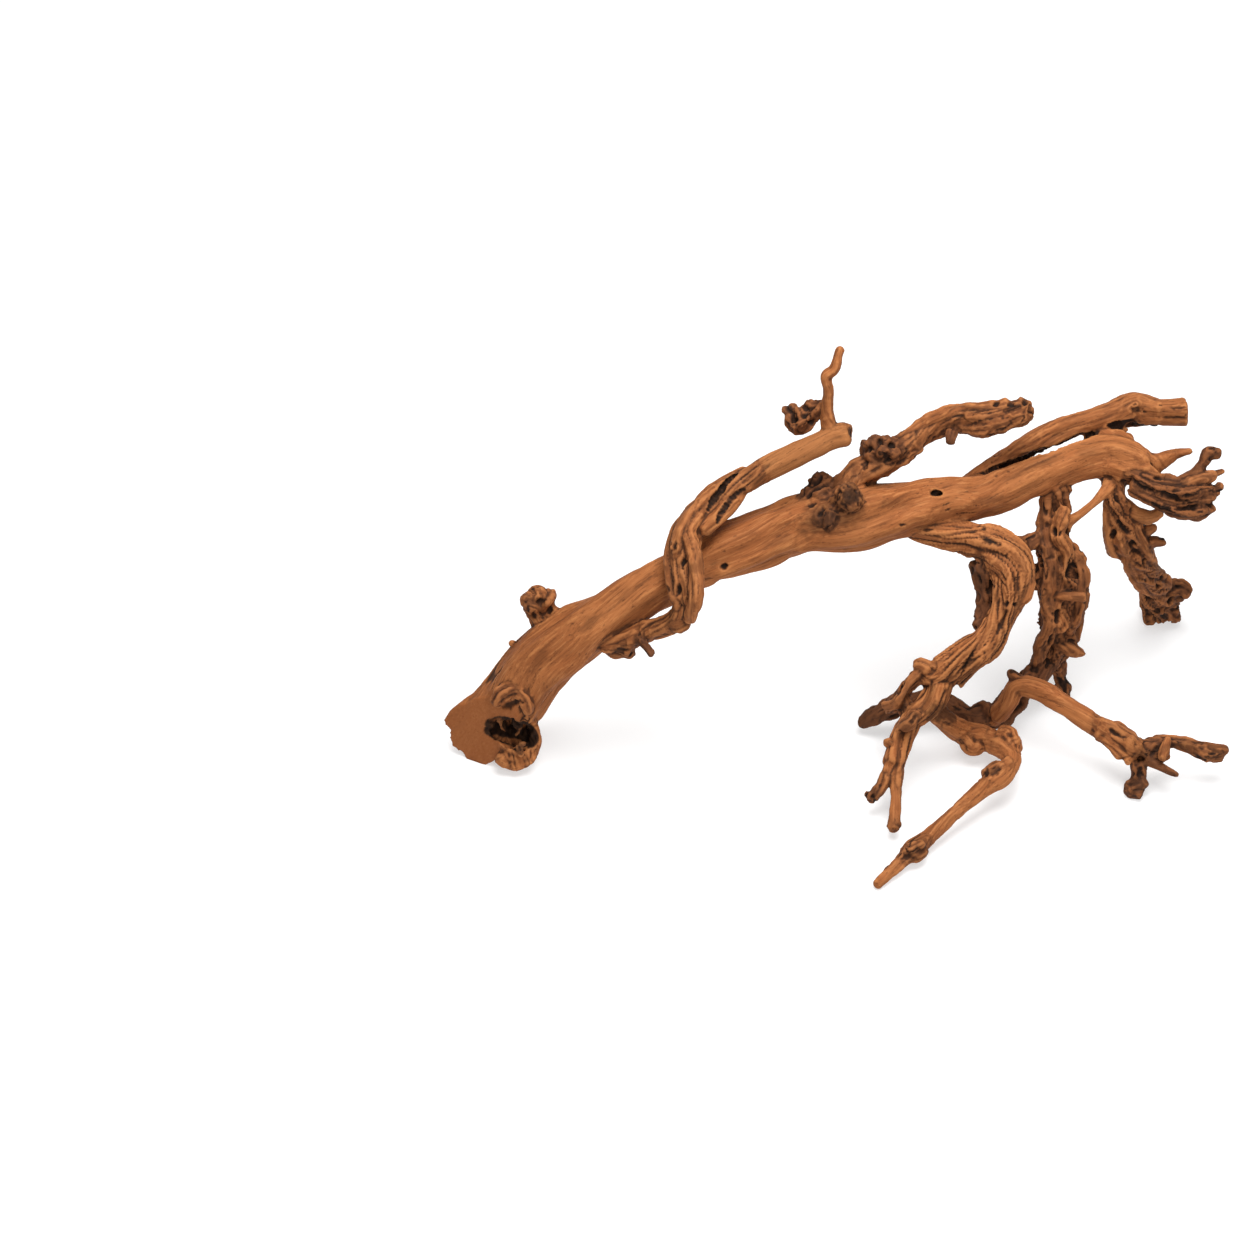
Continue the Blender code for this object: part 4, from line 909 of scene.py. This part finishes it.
def wood():
    """Warm brown wood, streaked along the grain, with painted shade in the cracks, pits and hollows, and
    paler on the ridges, partly as wear and partly as painted highlight.
    """
    material, tree, shader = shaded("grapevine_wood")

    def node(kind, **settings):
        made = tree.nodes.new(kind)
        for name, value in settings.items():
            setattr(made, name, value)
        return made

    def join(value, socket):
        if isinstance(value, bpy.types.NodeSocket):
            tree.links.new(value, socket)
        else:
            socket.default_value = value

    def stored(name):
        return node("ShaderNodeAttribute", attribute_name=name)

    def maths(operation, a, b):
        made = node("ShaderNodeMath", operation=operation)
        join(a, made.inputs[0])
        join(b, made.inputs[1])
        return made.outputs[0]

    def times(a, b):
        return maths("MULTIPLY", a, b)

    def spots(stretch, detail=2.0, roughness=0.5):
        """Noise with spots of that size along the grain's three ways."""
        scaled = node("ShaderNodeVectorMath", operation="MULTIPLY")
        join(grain, scaled.inputs[0])
        scaled.inputs[1].default_value = [1 / s for s in stretch]
        made = node("ShaderNodeTexNoise")
        join(scaled.outputs[0], made.inputs["Vector"])
        dial(made, {"Scale": 1.0, "Detail": detail, "Roughness": roughness})
        return made.outputs["Fac"]

    def between(value, low, high, most=1.0, least=0.0):
        """Least where the value is low, most where it is high, and a smooth step between them."""
        made = node("ShaderNodeMapRange", interpolation_type="SMOOTHSTEP")
        join(value, made.inputs["Value"])
        dial(made, {"From Min": low, "From Max": high, "To Min": least, "To Max": most})
        return made.outputs[0]

    def mixed(share, a, b):
        made = node("ShaderNodeMix", data_type="RGBA")
        join(share, made.inputs[0])
        join(a, made.inputs[6])
        join(b, made.inputs[7])
        return made.outputs[2]

    grain = stored("grain").outputs["Vector"]
    looks = ("shade_and_highlight", "shade_and_stain", "gnarl", "sawn")
    shade_and_highlight, shade_and_stain, gnarl, sawn = (stored(name).outputs["Fac"] for name in looks)
    streaks = spots((2.4, 2.4, 50), 3.0, 0.6)
    threads = spots((0.9, 0.9, 24))
    colour = mixed(between(spots((34, 34, 80)), 0.35, 0.65), WARM, SANDY)
    rot_and_shade = maths("ADD", gnarl, times(spots((8, 8, 18)), 0.7))
    layers = [
        (between(spots((20, 20, 130)), 0.5, 0.68, 0.32), UMBER),
        (between(streaks, 0.51, 0.7, 0.62), UMBER),
        (between(streaks, 0.47, 0.32, 0.5), PALE),
        (between(gnarl, 0.02, -0.2, 0.5), PALE),
        (between(threads, 0.52, 0.72, 0.5), UMBER),
        (between(spots((1.8, 1.8, 8)), 0.64, 0.72, 0.6), FLECK_AND_SHADE),
        # Rot browns the wood; on the front limb's inner strand this brown is painted shade.
        (between(rot_and_shade, 0.45, 1.25, 0.9), ROT_AND_SHADE_BROWN),
        # Paler crests, partly wear and partly painted highlight, where a point stands above its neighbours.
        (times(between(shade_and_highlight, -0.1, -0.75, 0.45), between(gnarl, 1.1, 0.7, 1.0, 0.25)), SANDY),
        (times(between(shade_and_highlight, -0.08, -0.6, 0.45), between(gnarl, 0.75, 0.2)), PALE),
        (times(sawn, 0.62), WARM),
        # Painted shade, darker the deeper a point lies below its neighbours.
        (between(shade_and_highlight, 0.0, 0.75, 0.9), FLECK_AND_SHADE),
        # Near black: painted shade in cracks, pits, holes, seams and the butt's hollow, together with the
        # marks' dark stains.
        (times(shade_and_stain, 0.95), SHADE_AND_STAIN_BLACK),
    ]
    for share, tint in layers:
        colour = mixed(share, colour, tint)
    join(colour, shader.inputs["Base Color"])
    join(between(streaks, 0.3, 0.7, 0.85, 0.68), shader.inputs["Roughness"])
    dial(shader, {"Specular IOR Level": 0.12})
    bump = node("ShaderNodeBump")
    dial(bump, {"Strength": 0.35, "Distance": 0.5 * MM})
    join(maths("ADD", threads, times(spots((0.5, 0.5, 3)), 0.5)), bump.inputs["Height"])
    join(bump.outputs["Normal"], shader.inputs["Normal"])
    return material


def store(mesh, looks):
    """Keeps the points' looks on the mesh, where the wood's material reads them."""
    for name, values in looks.items():
        kind = "FLOAT_VECTOR" if values.ndim == 2 else "FLOAT"
        layer = mesh.attributes.new(name, kind, "POINT")
        key = "vector" if values.ndim == 2 else "value"
        layer.data.foreach_set(key, values.astype(np.float32).ravel())


def separate_bodies(mesh, nodes):
    """Splits the mesh into its loose bodies, and returns the largest for each node."""
    whole = added("whole", mesh)
    bpy.ops.object.select_all(action="DESELECT")
    whole.select_set(True)
    bpy.context.view_layer.objects.active = whole
    bpy.ops.object.mode_set(mode="EDIT")
    bpy.ops.mesh.select_all(action="SELECT")
    bpy.ops.mesh.separate(type="LOOSE")
    bpy.ops.object.mode_set(mode="OBJECT")
    largest = {}
    for body in list(bpy.context.selected_objects):
        numbers = field(body.data.attributes["limb"].data, "value", 1).ravel().round().astype(int)
        names, votes = np.unique(np.array(nodes)[numbers], return_counts=True)
        name = str(names[votes.argmax()])
        if name in largest and len(largest[name].data.polygons) >= len(body.data.polygons):
            bpy.data.objects.remove(body)
            continue
        if name in largest:
            bpy.data.objects.remove(largest[name])
        largest[name] = body
    return largest


def thinned(piece):
    """Thins the piece to no more than MOST_TRIANGLES triangles, where it has more."""
    triangles = sum(len(f.vertices) - 2 for f in piece.data.polygons)
    if triangles <= MOST_TRIANGLES:
        return
    fewer = piece.modifiers.new("fewer", "DECIMATE")
    fewer.ratio = MOST_TRIANGLES / triangles
    piece.data = evaluated(piece)
    piece.modifiers.clear()


def area_light(name, place, size, power):
    """A square soft light that faces the piece."""
    light = bpy.data.lights.new(name, "AREA")
    light.size = size
    light.energy = power
    lamp = added(name, light)
    lamp.location = place
    lamp.rotation_euler = (Vector(LIT_POINT) - Vector(place)).to_track_quat("-Z", "Y").to_euler()


def studio():
    """The pale floor, the soft lights and the camera."""
    mesh = bpy.data.meshes.new("floor")
    corners = [(x * FLOOR_REACH, y * FLOOR_REACH, 0) for x, y in ((-1, -1), (1, -1), (1, 1), (-1, 1))]
    mesh.from_pydata(corners, [], [(0, 1, 2, 3)])
    paper, _, shader = shaded("white_paper")
    dial(shader, {
        "Base Color": (FLOOR_GREY, FLOOR_GREY, FLOOR_GREY, 1), "Roughness": 1.0, "Specular IOR Level": 0.0,
        "Emission Color": (1, 1, 1, 1), "Emission Strength": FLOOR_GLOW,
    })
    mesh.materials.append(paper)
    floor = added("floor", mesh)
    world = bpy.data.worlds.new("white room")
    world.use_nodes = True
    dial(world.node_tree.nodes["Background"], {"Color": (1, 1, 1, 1), "Strength": ROOM_LIGHT})
    bpy.context.scene.world = world
    area_light("key", **KEY_LIGHT)
    area_light("front", **FRONT_LIGHT)
    camera = bpy.data.cameras.new("camera")
    camera.sensor_width = SENSOR
    camera.lens = SENSOR * CAMERA_AWAY / PICTURE_WIDTH
    camera.clip_end = 100
    holder = added("camera", camera)
    back = Vector((0, -math.cos(VIEW_ELEVATION), math.sin(VIEW_ELEVATION)))
    holder.location = Vector(AIM) + back * CAMERA_AWAY
    holder.rotation_euler = (-back).to_track_quat("-Z", "Y").to_euler()
    bpy.context.scene.camera = holder
    bpy.context.scene.view_settings.view_transform = "Standard"


def main():
    limbs = {**LIMBS, **DETAILS}
    mesh = grown_together(limbs)
    number, grain, looks = weather(Surface(mesh), limbs)
    store(mesh, {"limb": number.astype(float), "grain": grain, **looks})
    shape = bmesh.new()
    shape.from_mesh(mesh)
    stand_flat(shape)
    for name, share in CUTS:
        part_at(shape, name, share)
    shape.to_mesh(mesh)
    shape.free()
    mesh.materials.clear()
    mesh.materials.append(wood())
    pieces = separate_bodies(mesh, [limb.node for limb in limbs.values()])
    for name, piece in pieces.items():
        thinned(piece)
        piece.name = piece.data.name = f"{name}_wood"
        piece.data.shade_smooth()
        piece.data.attributes.remove(piece.data.attributes["limb"])
        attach(piece, "root")
        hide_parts(name)
    studio()


main()
